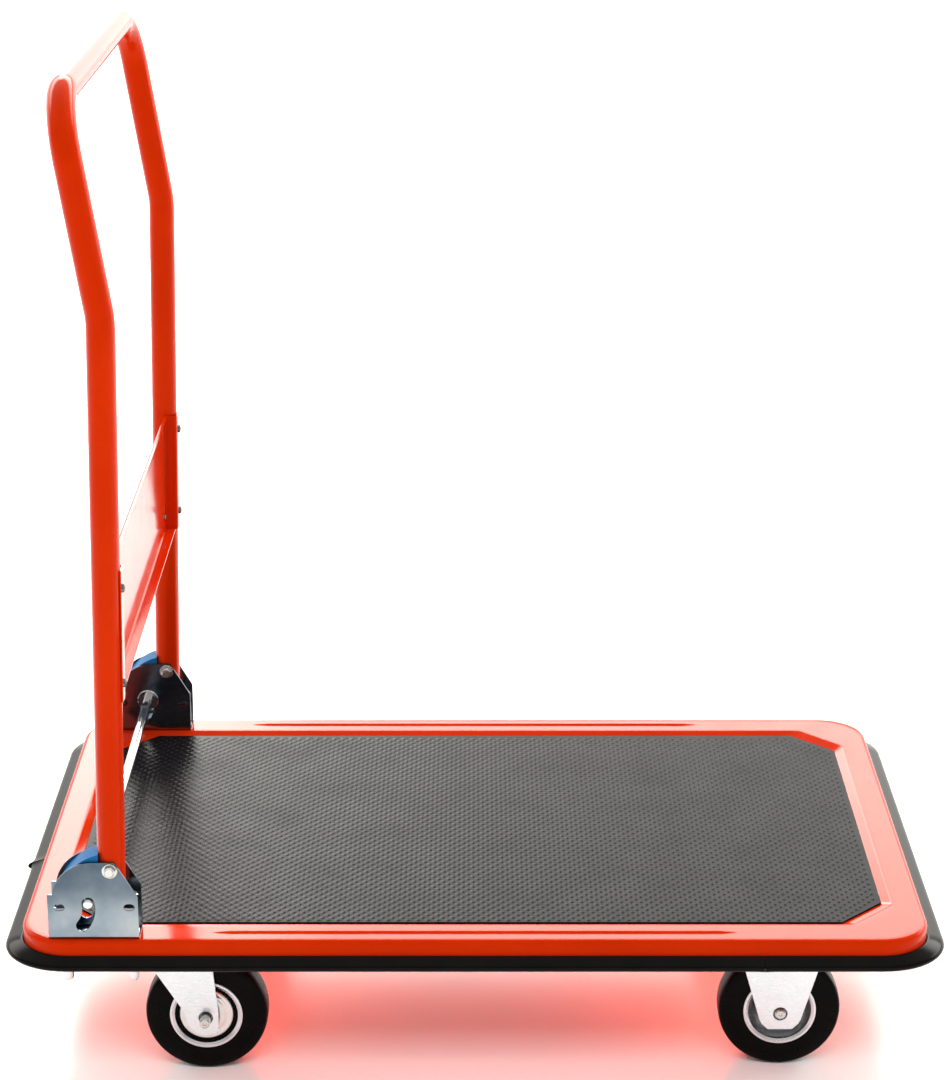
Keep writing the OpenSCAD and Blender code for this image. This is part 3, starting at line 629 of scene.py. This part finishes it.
def straight(a, b, normal, lift_a=0.0, lift_b=0.0):
    """Stations along a straight run, whose ends may lift off the wall over their last few millimetres."""
    length = math.dist(a, b)
    count = max(3, int(length / 25))
    close = (0, 1, 2.5, 5, 8, 12)
    places = sorted(set([i / count for i in range(count + 1)] + [min(1, k / length) for k in close]
                        + [max(0, 1 - k / length) for k in close]))
    out = []
    for t in places:
        near_a, near_b = t * length, (1 - t) * length
        lift = lift_a * max(0, 1 - near_a / 11) ** 2 + lift_b * max(0, 1 - near_b / 11) ** 2
        out.append(((a[0] + (b[0] - a[0]) * t, a[1] + (b[1] - a[1]) * t), normal, lift))
    return out


def make_bumpers():
    """Two lengths, which meet on the right side and at the rear end; their free ends lift off the wall."""
    half_l, half_w, r = DECK_L / 2, DECK_W / 2, CORNER_R
    corners = [[(p, n, 0.0) for p, n in corner] for corner in deck_corners()]
    gap = 0.5
    right = straight((-half_l, SEAM_Y - gap), (-half_l, r - half_w), (-1, 0), lift_a=1.2)
    right += corners[3] + straight((r - half_l, -half_w), (SEAM_X - gap, -half_w), (0, -1), lift_b=0.5)
    left = straight((SEAM_X, -half_w), (half_l - r, -half_w), (0, -1), lift_a=0.8) + corners[0]
    left += straight((half_l, r - half_w), (half_l, half_w - r), (1, 0)) + corners[1]
    left += straight((half_l - r, half_w), (r - half_l, half_w), (0, 1)) + corners[2]
    left += straight((-half_l, half_w - r), (-half_l, SEAM_Y), (-1, 0), lift_b=3.0)
    for name, node, stations in (("bumper_strip_right", "bumper_right", right),
                                 ("bumper_strip_left", "bumper_left", left)):
        clean = [s for i, s in enumerate(stations) if i == 0 or math.dist(s[0], stations[i - 1][0]) > 0.05]
        bumper_strip(name, node, clean)


# ---- handle

def leg_frame():
    """The place and lean of the handle's legs, at the pivot."""
    return spot(PIVOT_X, 0, PIVOT_Z) @ turn(LOWER_LEAN, "Y")


def handle_frames():
    """Frames along the left half of the handle, from the foot of the leg to the middle of the bar."""
    lean, back = LOWER_LEAN, LOWER_LEAN + UPPER_LEAN
    sin, cos, rad = math.sin, math.cos, math.radians
    lower = (BEND_Z - PIVOT_Z) / cos(rad(lean)) - BACK_R * math.tan(rad(back / 2))
    rise = BACK_R * (sin(rad(lean)) + sin(rad(UPPER_LEAN)))
    upper = (HANDLE_TOP - TUBE_R - PIVOT_Z - lower * cos(rad(lean)) - rise) / cos(rad(UPPER_LEAN)) - TOP_R
    foot = spot(PIVOT_X, LEG_Y, PIVOT_Z) @ turn(lean, "Y")
    frames = [(foot @ spot(0, 0, z), 0.0) for z in (-23, 0, 60, 138, 190, 245, 300, 360, lower - 4)]
    bend = foot @ spot(0, 0, lower)
    for k in range(13):
        a = back * k / 12
        frames.append((bend @ spot(-BACK_R, 0, 0) @ turn(-a, "Y") @ spot(BACK_R, 0, 0),
                       0.02 * math.sin(math.pi * k / 12)))
    top = bend @ spot(-BACK_R, 0, 0) @ turn(-back, "Y") @ spot(BACK_R, 0, 0)
    frames += [(top @ spot(0, 0, z), 0.0) for z in (4, 40, 80, upper - 3)]
    for k in range(25):
        a = 90 * k / 24
        frames.append((top @ spot(0, 0, upper) @ turn(90, "Z") @ spot(-TOP_R, 0, 0) @ turn(-a, "Y")
                       @ spot(TOP_R, 0, 0) @ turn(-90, "Z"), 0.055 * math.sin(math.pi * k / 24)))
    last = frames[-1][0]
    span = LEG_Y - TOP_R
    frames += [(last @ spot(0, 0, span * t), 0.0) for t in (0.03, 0.3, 0.65, 1.0)]
    return frames


def tube_ring(place, flat, radius):
    """A ring of the tube, slightly flattened in its bends."""
    steps = 48
    ring = []
    for k in range(steps):
        a = 2 * math.pi * k / steps
        x, y = radius * math.cos(a) * (1 - flat / 3), radius * math.sin(a) * (1 - flat)
        ring.append(place @ Vector((x, y, 0)))
    return ring


def make_handle():
    """The bent tube, with its bore; its right half mirrors the left one."""
    skins = []
    for radius in (TUBE_R, TUBE_R - TUBE_T):
        half = [tube_ring(place, flat, radius) for place, flat in handle_frames()]
        mirrored = [[Vector((p.x, -p.y, p.z)) for p in ring] for ring in half[:-1]]
        skins.append(half + mirrored[::-1])
    bm = bmesh.new()
    loft(bm, skins[0] + skins[1][::-1] + [skins[0][0]])
    piece("handle_bow", bm, "handle", "handle_paint", ["handle_tube"], sharp=50, bevel=0.3)


def panel_base():
    """Distance along the legs from the pivot to the panel's lower edge."""
    return (PANEL_Z - PIVOT_Z) / math.cos(math.radians(LOWER_LEAN))


def make_panel():
    """The pressed tray between the legs, with an end wall and a tab in front of each leg."""
    base = panel_base()
    inner, thick = LEG_Y - TUBE_R, 1.2
    low, high = base + 0.6, base + PANEL_H - 0.6
    tray = sheet_profile([(10, low), (0.6, low), (0.6, high), (3.5, high)], thick, 2.0)
    bm = prism_y([tray], -inner + 1.0, inner - 1.0)
    for _, s in SIDES:
        front = TUBE_R + 0.6
        wall = sheet_profile([(0.6, s * (inner - 9)), (0.6, s * (inner - 0.6)),
                              (front, s * (inner - 0.6)), (front, s * (inner + 14.8))], thick, 1.6)
        ends = prism([wall], lambda u, v, end: (u, v, base + (PANEL_H - 0.2 if end else 0.2)))
        bm = combine(bm, ends, "UNION")
    piece("panel_tray", moved(bm, leg_frame()), "handle", "handle_paint", ["cross_panel"], sharp=40,
          bevel=0.25)


def screw_head(radius, height):
    """A pan head along Z with a cross recess."""
    bm = lathe([(0, 0), (radius, 0), (radius, height * 0.35), (radius * 0.92, height * 0.7),
                (radius * 0.6, height * 0.95), (0, height)], (0, 0, 0), 32, "Z")
    arm, half = radius * 0.55, 0.45
    for a in (0, 90):
        slot = prism([[(-arm, -half), (arm, -half), (arm, half), (-arm, half)]],
                     lambda u, v, end: (u, v, height * (1.5 if end else 0.45)))
        bm = combine(bm, moved(slot, turn(a, "Z")), "DIFFERENCE")
    return bm


def make_panel_screws():
    """Two screws in each tab, and a small one at each end of the panel's face."""
    lean, base, inset = leg_frame(), panel_base(), 15
    heads = []
    for _, s in SIDES:
        for z in (inset, PANEL_H - inset):
            place = lean @ spot(TUBE_R + 1.2, s * LEG_Y, base + z) @ turn(90, "Y")
            heads.append(moved(screw_head(3.5, 2.4), place))
        place = lean @ spot(1.1, s * (LEG_Y - 22), base + inset) @ turn(90, "Y")
        heads.append(moved(screw_head(3.0, 1.6), place))
    # The zinc heads take the dark ball_steel finish: painted shade, as they sit in the shade of the tabs.
    piece("panel_screw_heads", join(*heads), "handle", "ball_steel", ["panel_screws"], sharp=30)


def make_guards():
    """Blue guards: a curved shell behind each leg, hollowed where the tube passes."""
    centre, radius, low = (-281, 169.6), 49, 188
    for side, s in SIDES:
        outer = arc(centre, radius, 105.5, 157.5, 28)
        inner = [p for p in arc(centre, radius - 13, 149, 111.5, 20) if p[1] > low]
        body = prism_y([outer + inner], -10.8, 10.8)
        tube = lathe([(0, -40), (TUBE_R + 0.05, -40), (TUBE_R + 0.05, 40), (0, 40)], (0, 0, 0), 48, "Z")
        body = combine(body, moved(tube, leg_frame()), "DIFFERENCE")
        piece("guard_" + side, moved(body, spot(0, s * LEG_Y, 0)), "handle", "guard_plastic",
              ["finger_guard_" + side], bevel=0.9, segments=3)


# ---- hinge brackets and foot lock

def bracket_outline():
    """The side of a bracket: a round rear shoulder with a small step, a flat top and a slanted front."""
    shoulder = arc((-298.5, 178), 33, 90, 170.4, 24)
    return [(-335, 140), (-264, 140), (-264, 181.5), (-281.5, 211)] + shoulder + [(-335, 183.5)]


def slot_outline():
    """The curved slot that the rod travels in, about the lever's pin."""
    arm, half, start, end = 23.4, 5.2, 10, -40
    high_end, low_end = arc(LEVER_PIN, arm, start, end, 1)
    return (arc(LEVER_PIN, arm + half, start, end, 12) + arc(low_end, half, end, end - 180, 12)[1:-1]
            + arc(LEVER_PIN, arm - half, end, start, 12) + arc(high_end, half, start + 180, start, 12)[1:-1])


def half_moon(place, y, outward):
    """A tongue lanced out of the plate: a shallow scoop, open at its top."""
    bm = bmesh.new()
    rings = []
    for k in range(9):
        lift = math.pi / 2 * k / 8
        ring = []
        for i in range(17):
            a = math.pi + math.pi * i / 16
            r = math.cos(lift)
            depth = outward * (1.7 * math.sin(lift) - 0.2)
            ring.append((place[0] + 4.6 * math.cos(a) * r, y + depth, place[1] + 3.0 * math.sin(a) * r))
        rings.append(ring)
    loft(bm, rings, closed=False)
    bmesh.ops.solidify(bm, geom=bm.faces[:], thickness=0.5)
    return bm


def make_brackets():
    """A folded channel cut to the bracket's outline, with its slot, pivot hole, lanced tongues and end web."""
    for side, s in SIDES:
        channel = sheet_profile([(-BRACKET_Y, 212), (-BRACKET_Y, 145.8), (BRACKET_Y, 145.8), (BRACKET_Y, 212)],
                                BRACKET_T, 2.2)
        bm = prism_x([channel], -337, -262)
        outline = rounded(bracket_outline(), [0, 0, 1.5, 3] + [0] * 25 + [0.8])
        lances = [[(x - 4.6, 172.4), (x + 4.6, 172.4), (x + 3.6, 174.6), (x + 1.5, 175.6), (x - 1.5, 175.6),
                   (x - 3.6, 174.6)] for x in LANCES_X]
        side_shape = prism_y([outline, slot_outline(), disc((PIVOT_X, PIVOT_Z), BORE_R)] + lances, -14, 14)
        bm = combine(bm, side_shape, "INTERSECT")
        web = prism_y([sheet_profile([(-334.2, 165), (-334.2, 146.2), (-318, 146.2)], 1.5, 2.0)], -11.0, 11.0)
        bm = combine(bm, web, "UNION")
        scoops = [half_moon((x, 172.6), face * BRACKET_FACE, face) for x in LANCES_X for face in (1, -1)]
        bm = moved(join(bm, *scoops), spot(0, s * LEG_Y, 0))
        piece("bracket_" + side, bm, "deck", "bracket_zinc", ["hinge_bracket_" + side], bevel=0.22)


def washer(centre, inner, outer, thick, outward):
    t = outward * thick
    return lathe([(inner, 0), (outer - 0.2, 0), (outer, t * 0.25), (outer, t * 0.75), (outer - 0.3, t),
                  (inner, t)], centre, 48)


def make_pivot_bolts():
    """A shank through each bracket, with a washer and a hexagon at either end."""
    for side, s in SIDES:
        y = s * LEG_Y
        parts = [lathe([(0, -17.6), (3.2, -17.6), (3.9, -16.9), (3.9, 16.9), (3.2, 17.6), (0, 17.6)],
                       (PIVOT_X, y, PIVOT_Z), 40)]
        for face in (1, -1):
            base = y + face * BRACKET_FACE
            parts.append(washer((PIVOT_X, base, PIVOT_Z), 4.0, 6.2, 1.2, face))
            parts.append(hex_head((PIVOT_X, base + face * 1.2, PIVOT_Z), 8.6, 2.9, face, 12))
        piece("pivot_" + side, join(*parts), "deck", "fastener_zinc", ["pivot_bolt_" + side], sharp=30)


def make_rod():
    """The lock rod, with a collar beside each bracket."""
    end, face = LEG_Y + BRACKET_FACE + 2.5, LEG_Y - BRACKET_FACE - 0.3
    half = [(4.0, 0), (4.0, 100), (4.0, face - 1.6), (9.2, face - 1.6), (9.6, face - 1.2), (9.6, face),
            (4.0, face), (4.0, end - 0.9), (3.5, end - 0.25), (2.9, end), (0, end)]
    rod = lathe([(r, -y) for r, y in half[:0:-1]] + half, (ROD[0], 0, ROD[1]), 48)
    piece("lock_bar_rod", rod, "lock_bar", "bright_rod", ["lock_rod"], sharp=40)


def make_clip():
    """A spring clip: an open ring round the rod with two short ears."""
    y, half = LEG_Y - BRACKET_FACE - 24, 3.5
    ring = arc((0, 0), 5.2, -60, 240, 32) + arc((0, 0), BORE_R, 240, -60, 32)
    bm = prism_y([ring], -half, half)
    for lean in (1, -1):
        ear = [(lean * 2.4, -3.4), (lean * 5.4, -7.6), (lean * 6.4, -7.0), (lean * 3.2, -2.8)]
        bm = combine(bm, prism_y([rounded(ear, 0.3)], -half, half), "UNION")
    bm = moved(bm, spot(ROD[0], y, ROD[1]) @ turn(-112, "Y"))
    piece("rod_spring_clip", bm, "lock_bar", "bracket_zinc", ["rod_clip"], bevel=0.2)


# ---- casters

def wheel_places():
    """The four wheels' names, sides and middles."""
    for end, side, s in WHEELS:
        if end == "rear":
            yield end, side, s, SWIVEL_X + TRAIL, s * SWIVEL_Y
        else:
            yield end, side, s, RIGID_X, s * RIGID_Y


def mirror_profile(half):
    """Closes a profile given on the positive side by its mirror image."""
    return half + [(r, -w) for r, w in half[::-1]]


def both_faces(profile, centre):
    """A turned ring on one side of a wheel, and its mirror image on the other."""
    return [lathe([(r, face * w) for r, w in profile], centre, 96) for face in (1, -1)]


def make_wheels():
    """Tyre, rim, hub cover and sleeve of each wheel, from profiles of (radius, distance from the middle)."""
    tyre = mirror_profile(
        [(29.1, 0), (29.1, 12.9), (29.9, 13.6), (30.6, 13.9), (33, 14.0), (38, 14.05), (42.2, 13.7),
         (44.8, 12.9)]
        + arc((45.9, 8.9), 3.6, 68, 18, 5)
        + [(49.75, 7.6), (49.9, 6.4), (50.0, 3)]
    )[1:-1]
    rim = mirror_profile(
        [(27.9, 11.6), (28.6, 12.9), (29.6, 13.6), (29.6, 14.2), (29.2, 14.5), (27.7, 14.5), (27.4, 14.2),
         (26.2, 13.9), (25.7, 13.4), (25.5, 10), (25.0, 6.2), (24.0, 4.0), (20, 3.2), (14.6, 3.0), (14.4, 9.6),
         (12.6, 9.8)]
    )
    rim = [(28.9, 11.0)] + rim + [(28.9, -11.0)]
    wide_cap = [(8.05, 13.6), (9.4, 14.0), (13.5, 14.0), (15.2, 13.8), (16.1, 13.1), (17.2, 12.7), (18.3, 12.9),
                (19.3, 13.3), (20.4, 13.35), (21.3, 13.0), (21.9, 12.2), (22.0, 9.2), (21.2, 9.2), (21.0, 11.9),
                (20.2, 12.5), (18.4, 12.1), (17.2, 11.9), (15.6, 12.4), (14.6, 13.0), (8.05, 12.8)]
    small_cap = [(8.05, 13.2), (11.5, 13.2), (14.6, 12.6), (16.2, 11.4), (16.8, 9.2), (15.9, 9.2), (15.4, 10.8),
                 (14.0, 11.8), (11.2, 12.3), (8.05, 12.3)]
    # A black rubber ring deep in the rear wheels' groove: painted shade that makes the groove between rim and
    # cover read black.
    groove_shade_ring = [(22.3, 7.5), (25.3, 7.5), (25.3, 10.4), (24.6, 10.8), (23.0, 10.8), (22.3, 10.4)]
    # A dark steel dish in the front wheels' recess: painted shade that darkens the recess behind the small
    # cover.
    recess_shade_dish = [(16.0, 8.6), (20.0, 9.0), (23.2, 10.2), (25.35, 12.2), (25.35, 11.0), (23.2, 9.0), (20.0, 7.8),
            (16.0, 7.6)]
    sleeve = mirror_profile([(4.05, 16.5), (6.8, 16.5), (7.6, 15.9), (7.95, 15.2), (7.95, 9.0), (12.5, 9.0)])
    for end, side, _, x, y in wheel_places():
        tag = end + "_" + side
        centre, body = (x, y, WHEEL_R), "wheel_" + tag
        tread = lathe(tyre, centre, 144)
        cap = small_cap
        if end == "rear":
            cap = wide_cap
            # The rear treads carry the black ring of painted shade in their groove.
            tread = join(tread, *both_faces(groove_shade_ring, centre))
        piece("tread_" + tag, tread, body, "tyre_rubber", ["tyre_" + tag], sharp=50)
        piece("wheel_rim_" + tag, lathe(rim, centre, 128), body, "rim_steel", ["rim_" + tag], sharp=40)
        piece("hub_cover_" + tag, join(*both_faces(cap, centre)), body, "hub_zinc", ["hub_caps_" + tag])
        core = lathe(sleeve, centre, 64)
        if end == "front":
            # The front wheels get the dark dish of painted shade in their recess.
            core = join(core, *both_faces(recess_shade_dish, centre))
        piece("hub_sleeve_" + tag, core, body, "ball_steel", ["bearing_" + tag])


def make_axles():
    """Axle bolts: an end in the hole of the outer leg, and on the inner leg a nut with the thread's end."""
    for end, side, s, x, y in wheel_places():
        tag = end + "_" + side
        reach = FORK_OUT + (10.5 if end == "rear" else 1.6)
        inner = y - s * FORK_OUT
        parts = [lathe([(0, -s * 21), (3.9, -s * 21), (3.9, s * 15), (4.4, s * 15.2), (4.4, s * (reach - 1.0)),
                        (3.2, s * reach), (1.6, s * reach), (1.2, s * (reach - 0.6)), (0, s * (reach - 0.7))],
                       (x, y, WHEEL_R), 40)]
        parts.append(hex_head((x, inner, WHEEL_R), 12, 4.8, -s, 20))
        parts.append(lathe([(0, -s * 4), (3.4, -s * 4), (3.4, -s * 6.6), (2.9, -s * 7), (0, -s * 7)],
                           (x, inner, WHEEL_R), 32))
        body = "swivel_" + side if end == "rear" else "deck"
        piece("axle_bolt_" + tag, join(*parts), body, "fastener_zinc", ["axle_" + tag], sharp=30)


def fork_channel(y, top, length):
    """A channel with two legs hanging from a crown, along X."""
    half, crown, foot = FORK_OUT - FORK_T / 2, top - FORK_T / 2, 25
    path = [(y - half, foot), (y - half, crown), (y + half, crown), (y + half, foot)]
    return prism_x([sheet_profile(path, FORK_T, 3.4)], *length)


def axle_hole(x, y, s, radius):
    """A cutter for the wide hole in a fork's outer leg."""
    return lathe([(0, s * 10), (radius, s * 10), (radius, s * 30), (0, s * 30)], (x, y, WHEEL_R), 48)


def make_forks():
    """On each side the swivel fork at the rear, and the rigid fork with its plate at the front."""
    for side, s in SIDES:
        ax, az, y = SWIVEL_X + TRAIL, WHEEL_R, s * SWIVEL_Y
        outline = ([(ax - 52, 109), (ax - 52, 106), (ax - 40, 92), (ax - 19, az + 8), (ax - 15.5, az + 1)]
                   + arc((ax, az), 15.5, 180, 310, 18) + [(ax + 10.3, az + 4), (ax + 7, 92), (ax + 4, 109)])
        radii = [0, 1, 6, 3, 0] + [0] * 19 + [2, 4, 0]
        shape = prism_y([rounded(outline, radii), disc((ax, az), BORE_R, 40)], y - 22, y + 22)
        bm = combine(fork_channel(y, 108.5, (ax - 60, ax + 12)), shape, "INTERSECT")
        bm = combine(bm, axle_hole(ax, y, s, 6.0), "DIFFERENCE")
        crown = lathe([(KINGPIN_R, 106), (24.6, 106), (25.5, 106.8), (25.5, 107.8), (24.6, 108.45),
                       (KINGPIN_R, 108.45)], (SWIVEL_X, y, 0), 72, "Z")
        hole = lathe([(0, 100), (KINGPIN_R, 100), (KINGPIN_R, 112), (0, 112)], (SWIVEL_X, y, 0), 48, "Z")
        bm = combine(combine(bm, hole, "DIFFERENCE"), crown, "UNION")
        piece("swivel_yoke_" + side, bm, "swivel_" + side, "caster_zinc", ["swivel_fork_" + side], bevel=0.45,
              segments=3)

        x, y = RIGID_X, s * RIGID_Y
        outline = [(x - 38, 118), (x - 34, 104), (x - 17, 45), (x - 15, 41), (x - 10, 36), (x + 10, 36),
                   (x + 15, 41), (x + 17, 45), (x + 34, 104), (x + 38, 118)]
        radii = [0, 8, 4, 0, 3, 3, 0, 4, 8, 0]
        shape = prism_y([rounded(outline, radii), disc((x, az), BORE_R, 40)], y - 22, y + 22)
        bm = combine(fork_channel(y, 116.2, (x - 42, x + 42)), shape, "INTERSECT")
        bm = combine(bm, axle_hole(x, y, s, 5.8), "DIFFERENCE")
        plate = rounded([(x - 48, y - 38), (x + 48, y - 38), (x + 48, y + 38), (x - 48, y + 38)], 8)
        holes = [disc((x + i * PLATE_BOLT_X, y + j * PLATE_BOLT_Y), 4.2, 28) for i in (1, -1) for j in (1, -1)]
        top = prism([plate] + holes, lambda u, v, end: (u, v, PLATE_HIGH if end else PLATE_LOW))
        bm = combine(bm, top, "UNION")
        piece("rigid_yoke_" + side, bm, "deck", "caster_zinc", ["rigid_fork_" + side], bevel=0.45, segments=3)


def hex_z(x, y, z, across, height, up, twist):
    """A chamfered hexagon along Z that stands on z, or hangs from it."""
    bm = hex_head((0, 0, 0), across, height, 1, twist)
    return moved(bm, spot(x, y, z) @ turn(90 if up else -90, "X"))


def make_caster_bolts():
    """Four bolts for each caster, each with its head below the plate and a nut above it."""
    heads, nuts = [], []
    for x, y in [(SWIVEL_X, s * SWIVEL_Y) for _, s in SIDES] + [(RIGID_X, s * RIGID_Y) for _, s in SIDES]:
        for i in (1, -1):
            for j in (1, -1):
                bx, by = x + i * PLATE_BOLT_X, y + j * PLATE_BOLT_Y
                twist = (7 * i + 11 * j + x * 3 + y) % 60
                heads.append(hex_z(bx, by, PLATE_LOW, 13, 4, False, twist))
                shank = [(0, PLATE_LOW), (4, PLATE_LOW), (4, 130), (3.4, 130.8), (0, 130.8)]
                heads.append(lathe(shank, (bx, by, 0), 28, "Z"))
                nuts.append(hex_z(bx, by, 120.5, 13, 6, True, twist + 20))
    piece("caster_bolt_heads", join(*heads), "deck", "fastener_zinc", ["caster_bolts"], sharp=30)
    piece("caster_bolt_nuts", join(*nuts), "deck", "fastener_zinc", ["caster_nuts"], sharp=30)


def make_bracket_bolts():
    """Round heads in the brackets, and under the deck a washer, a hexagon and a closed cap."""
    heads, caps = [], []
    for x in BRACKET_BOLTS_X:
        for _, s in SIDES:
            y = s * LEG_Y
            dome = [(0, 110), (2.9, 110), (2.9, 146.6), (6, 146.6), (6, 147.7), (5.6, 148), (5.0, 148.2),
                    (4.4, 149.2), (3.0, 149.8), (0, 149.8)]
            heads.append(lathe(dome, (x, y, 0), 32, "Z"))
            caps.append(hex_z(x, y, 118, 10, 6, False, 10 if x < -300 else 35))
            caps.append(lathe([(0, 112.2), (4.5, 112.2), (4.5, 107.4), (4.1, 105.6), (3.1, 104.2), (1.6, 103.5),
                               (0, 103.3)], (x, y, 0), 32, "Z"))
            caps.append(lathe([(3.1, 118), (6, 118), (6, 119), (3.1, 119)], (x, y, 0), 32, "Z"))
    piece("bracket_bolt_heads", join(*heads), "deck", "fastener_zinc", ["bracket_bolts"], sharp=30)
    piece("bracket_cap_ends", join(*caps), "deck", "bright_rod", ["bracket_cap_nuts"], sharp=30)


def dress_frame_nodes():
    """The CAD nodes that stay: softened edges and the record's own finish."""
    for sub in frame["record"]["subparts"]:
        node = frame["nodes"][sub["node"]]
        if node.hide_render:
            continue
        node.data.materials.clear()
        node.data.materials.append(MATERIALS[sub["material_slot"]])
        weld = node.modifiers.new("weld", "WELD")
        weld.merge_threshold = 0.005 * MM
        soften(node, 0.4 * MM)


# ---- camera, light and floor

def make_floor():
    """A wide pale disc with a soft gloss, in metres."""
    mesh = bpy.data.meshes.new("floor")
    bm = bmesh.new()
    bmesh.ops.create_circle(bm, cap_ends=True, radius=30, segments=96)
    bm.to_mesh(mesh)
    bm.free()
    obj = add_object("floor", mesh)
    mat, tree, bsdf, at = shader("floor_pale")
    ramp(tree, noise_at(tree, at, 1.5, 2), [(0.3, 0.90), (0.7, 0.92)], bsdf.inputs["Base Color"])
    bsdf.inputs["Roughness"].default_value = 0.22
    mesh.materials.append(mat)


def area_light(name, place, aim, size, power):
    """A soft light that the camera and the gloss don't see."""
    data = bpy.data.lights.new(name, "AREA")
    data.shape = "RECTANGLE"
    data.size, data.size_y = size
    data.energy = power
    obj = add_object(name, data)
    obj.location = place
    obj.rotation_euler = (Vector(aim) - Vector(place)).to_track_quat("-Z", "Y").to_euler()
    obj.visible_camera = obj.visible_glossy = False
    return obj


def light_floor_only(light):
    """Keeps a light off the object, so that it only softens the front edge of its shadow."""
    group = bpy.data.collections.new("lit_floor")
    group.objects.link(bpy.data.objects["floor"])
    light.light_linking.receiver_collection = group


def make_world():
    """Soft studio light: bright behind and above the object, dim on the near side."""
    world = bpy.data.worlds.new("studio")
    bpy.context.scene.world = world
    world.use_nodes = True
    tree = world.node_tree
    background = tree.nodes["Background"]
    background.inputs["Color"].default_value = (1, 0.975, 0.92, 1)
    coord = tree.nodes.new("ShaderNodeTexCoord")
    parts = tree.nodes.new("ShaderNodeSeparateXYZ")
    tree.links.new(coord.outputs["Generated"], parts.inputs["Vector"])

    def step(value, low, high, start, end):
        """A smooth change from start to end, while the value goes from low to high."""
        node = tree.nodes.new("ShaderNodeMapRange")
        node.interpolation_type = "SMOOTHSTEP"
        for key, number in (("From Min", low), ("From Max", high), ("To Min", start), ("To Max", end)):
            node.inputs[key].default_value = number
        tree.links.new(value, node.inputs["Value"])
        return node.outputs["Result"]

    def maths(operation, a, b):
        node = tree.nodes.new("ShaderNodeMath")
        node.operation = operation
        tree.links.new(a, node.inputs[0])
        tree.links.new(b, node.inputs[1])
        return node.outputs[0]

    # The limits below are directions, as the parts of a unit vector
    x, y, z = (parts.outputs[axis] for axis in "XYZ")
    # A tall bright window on the left, and a softer wall beside it
    window = maths("MINIMUM", step(x, -0.26, -0.16, 0.0, 1.0), step(x, -0.12, 0.03, 1.0, 0.0))
    glow = maths("MAXIMUM", step(x, -0.26, -0.16, 5.0, 7.0), step(window, 0.0, 1.0, 0.0, 11.0))
    behind = step(y, 0.0, 0.45, 0.0, 1.0)
    # The wall is dim near the horizon and bright above it, and the window starts lower
    rise = maths("MAXIMUM", step(z, 0.25, 0.29, 0.4, 0.12), step(z, 0.32, 0.375, 0.12, 1.0))
    rise = maths("MAXIMUM", rise, maths("MULTIPLY", window, step(z, 0.22, 0.27, 0.0, 1.0)))
    low = step(z, 0.5, 0.68, 1.0, 0.0)
    back = maths("MULTIPLY", maths("MULTIPLY", glow, behind), maths("MULTIPLY", rise, low))
    top = step(z, 0.3, 0.8, 0.4, 0.95)
    tree.links.new(maths("MAXIMUM", back, top), background.inputs["Strength"])


def make_camera():
    """The camera, in front of the deck's right side and looking down on it."""
    data = bpy.data.cameras.new("camera")
    data.lens = 94.3
    data.clip_start, data.clip_end = 0.05, 100
    obj = add_object("camera", data)
    obj.location = (0, -2.237, 1.151)
    obj.rotation_euler = (math.radians(71.44), 0, 0)
    bpy.context.scene.camera = obj


bpy.context.scene.view_settings.view_transform = "Standard"
make_camera()
make_world()
make_floor()
area_light("under_glow", (0.01, 0, 0.004), (0.01, 0, 0.13), (0.30, 0.20), 6.0)
light_floor_only(area_light("floor_fill", (0, -1.53, 1.65), (0, -0.24, 0.12), (1.6, 0.6), 22))
make_deck()
make_mat()
make_bumpers()
make_handle()
make_panel()
make_panel_screws()
make_guards()
make_brackets()
make_pivot_bolts()
make_rod()
make_clip()
make_wheels()
make_axles()
make_forks()
make_caster_bolts()
make_bracket_bolts()
dress_frame_nodes()
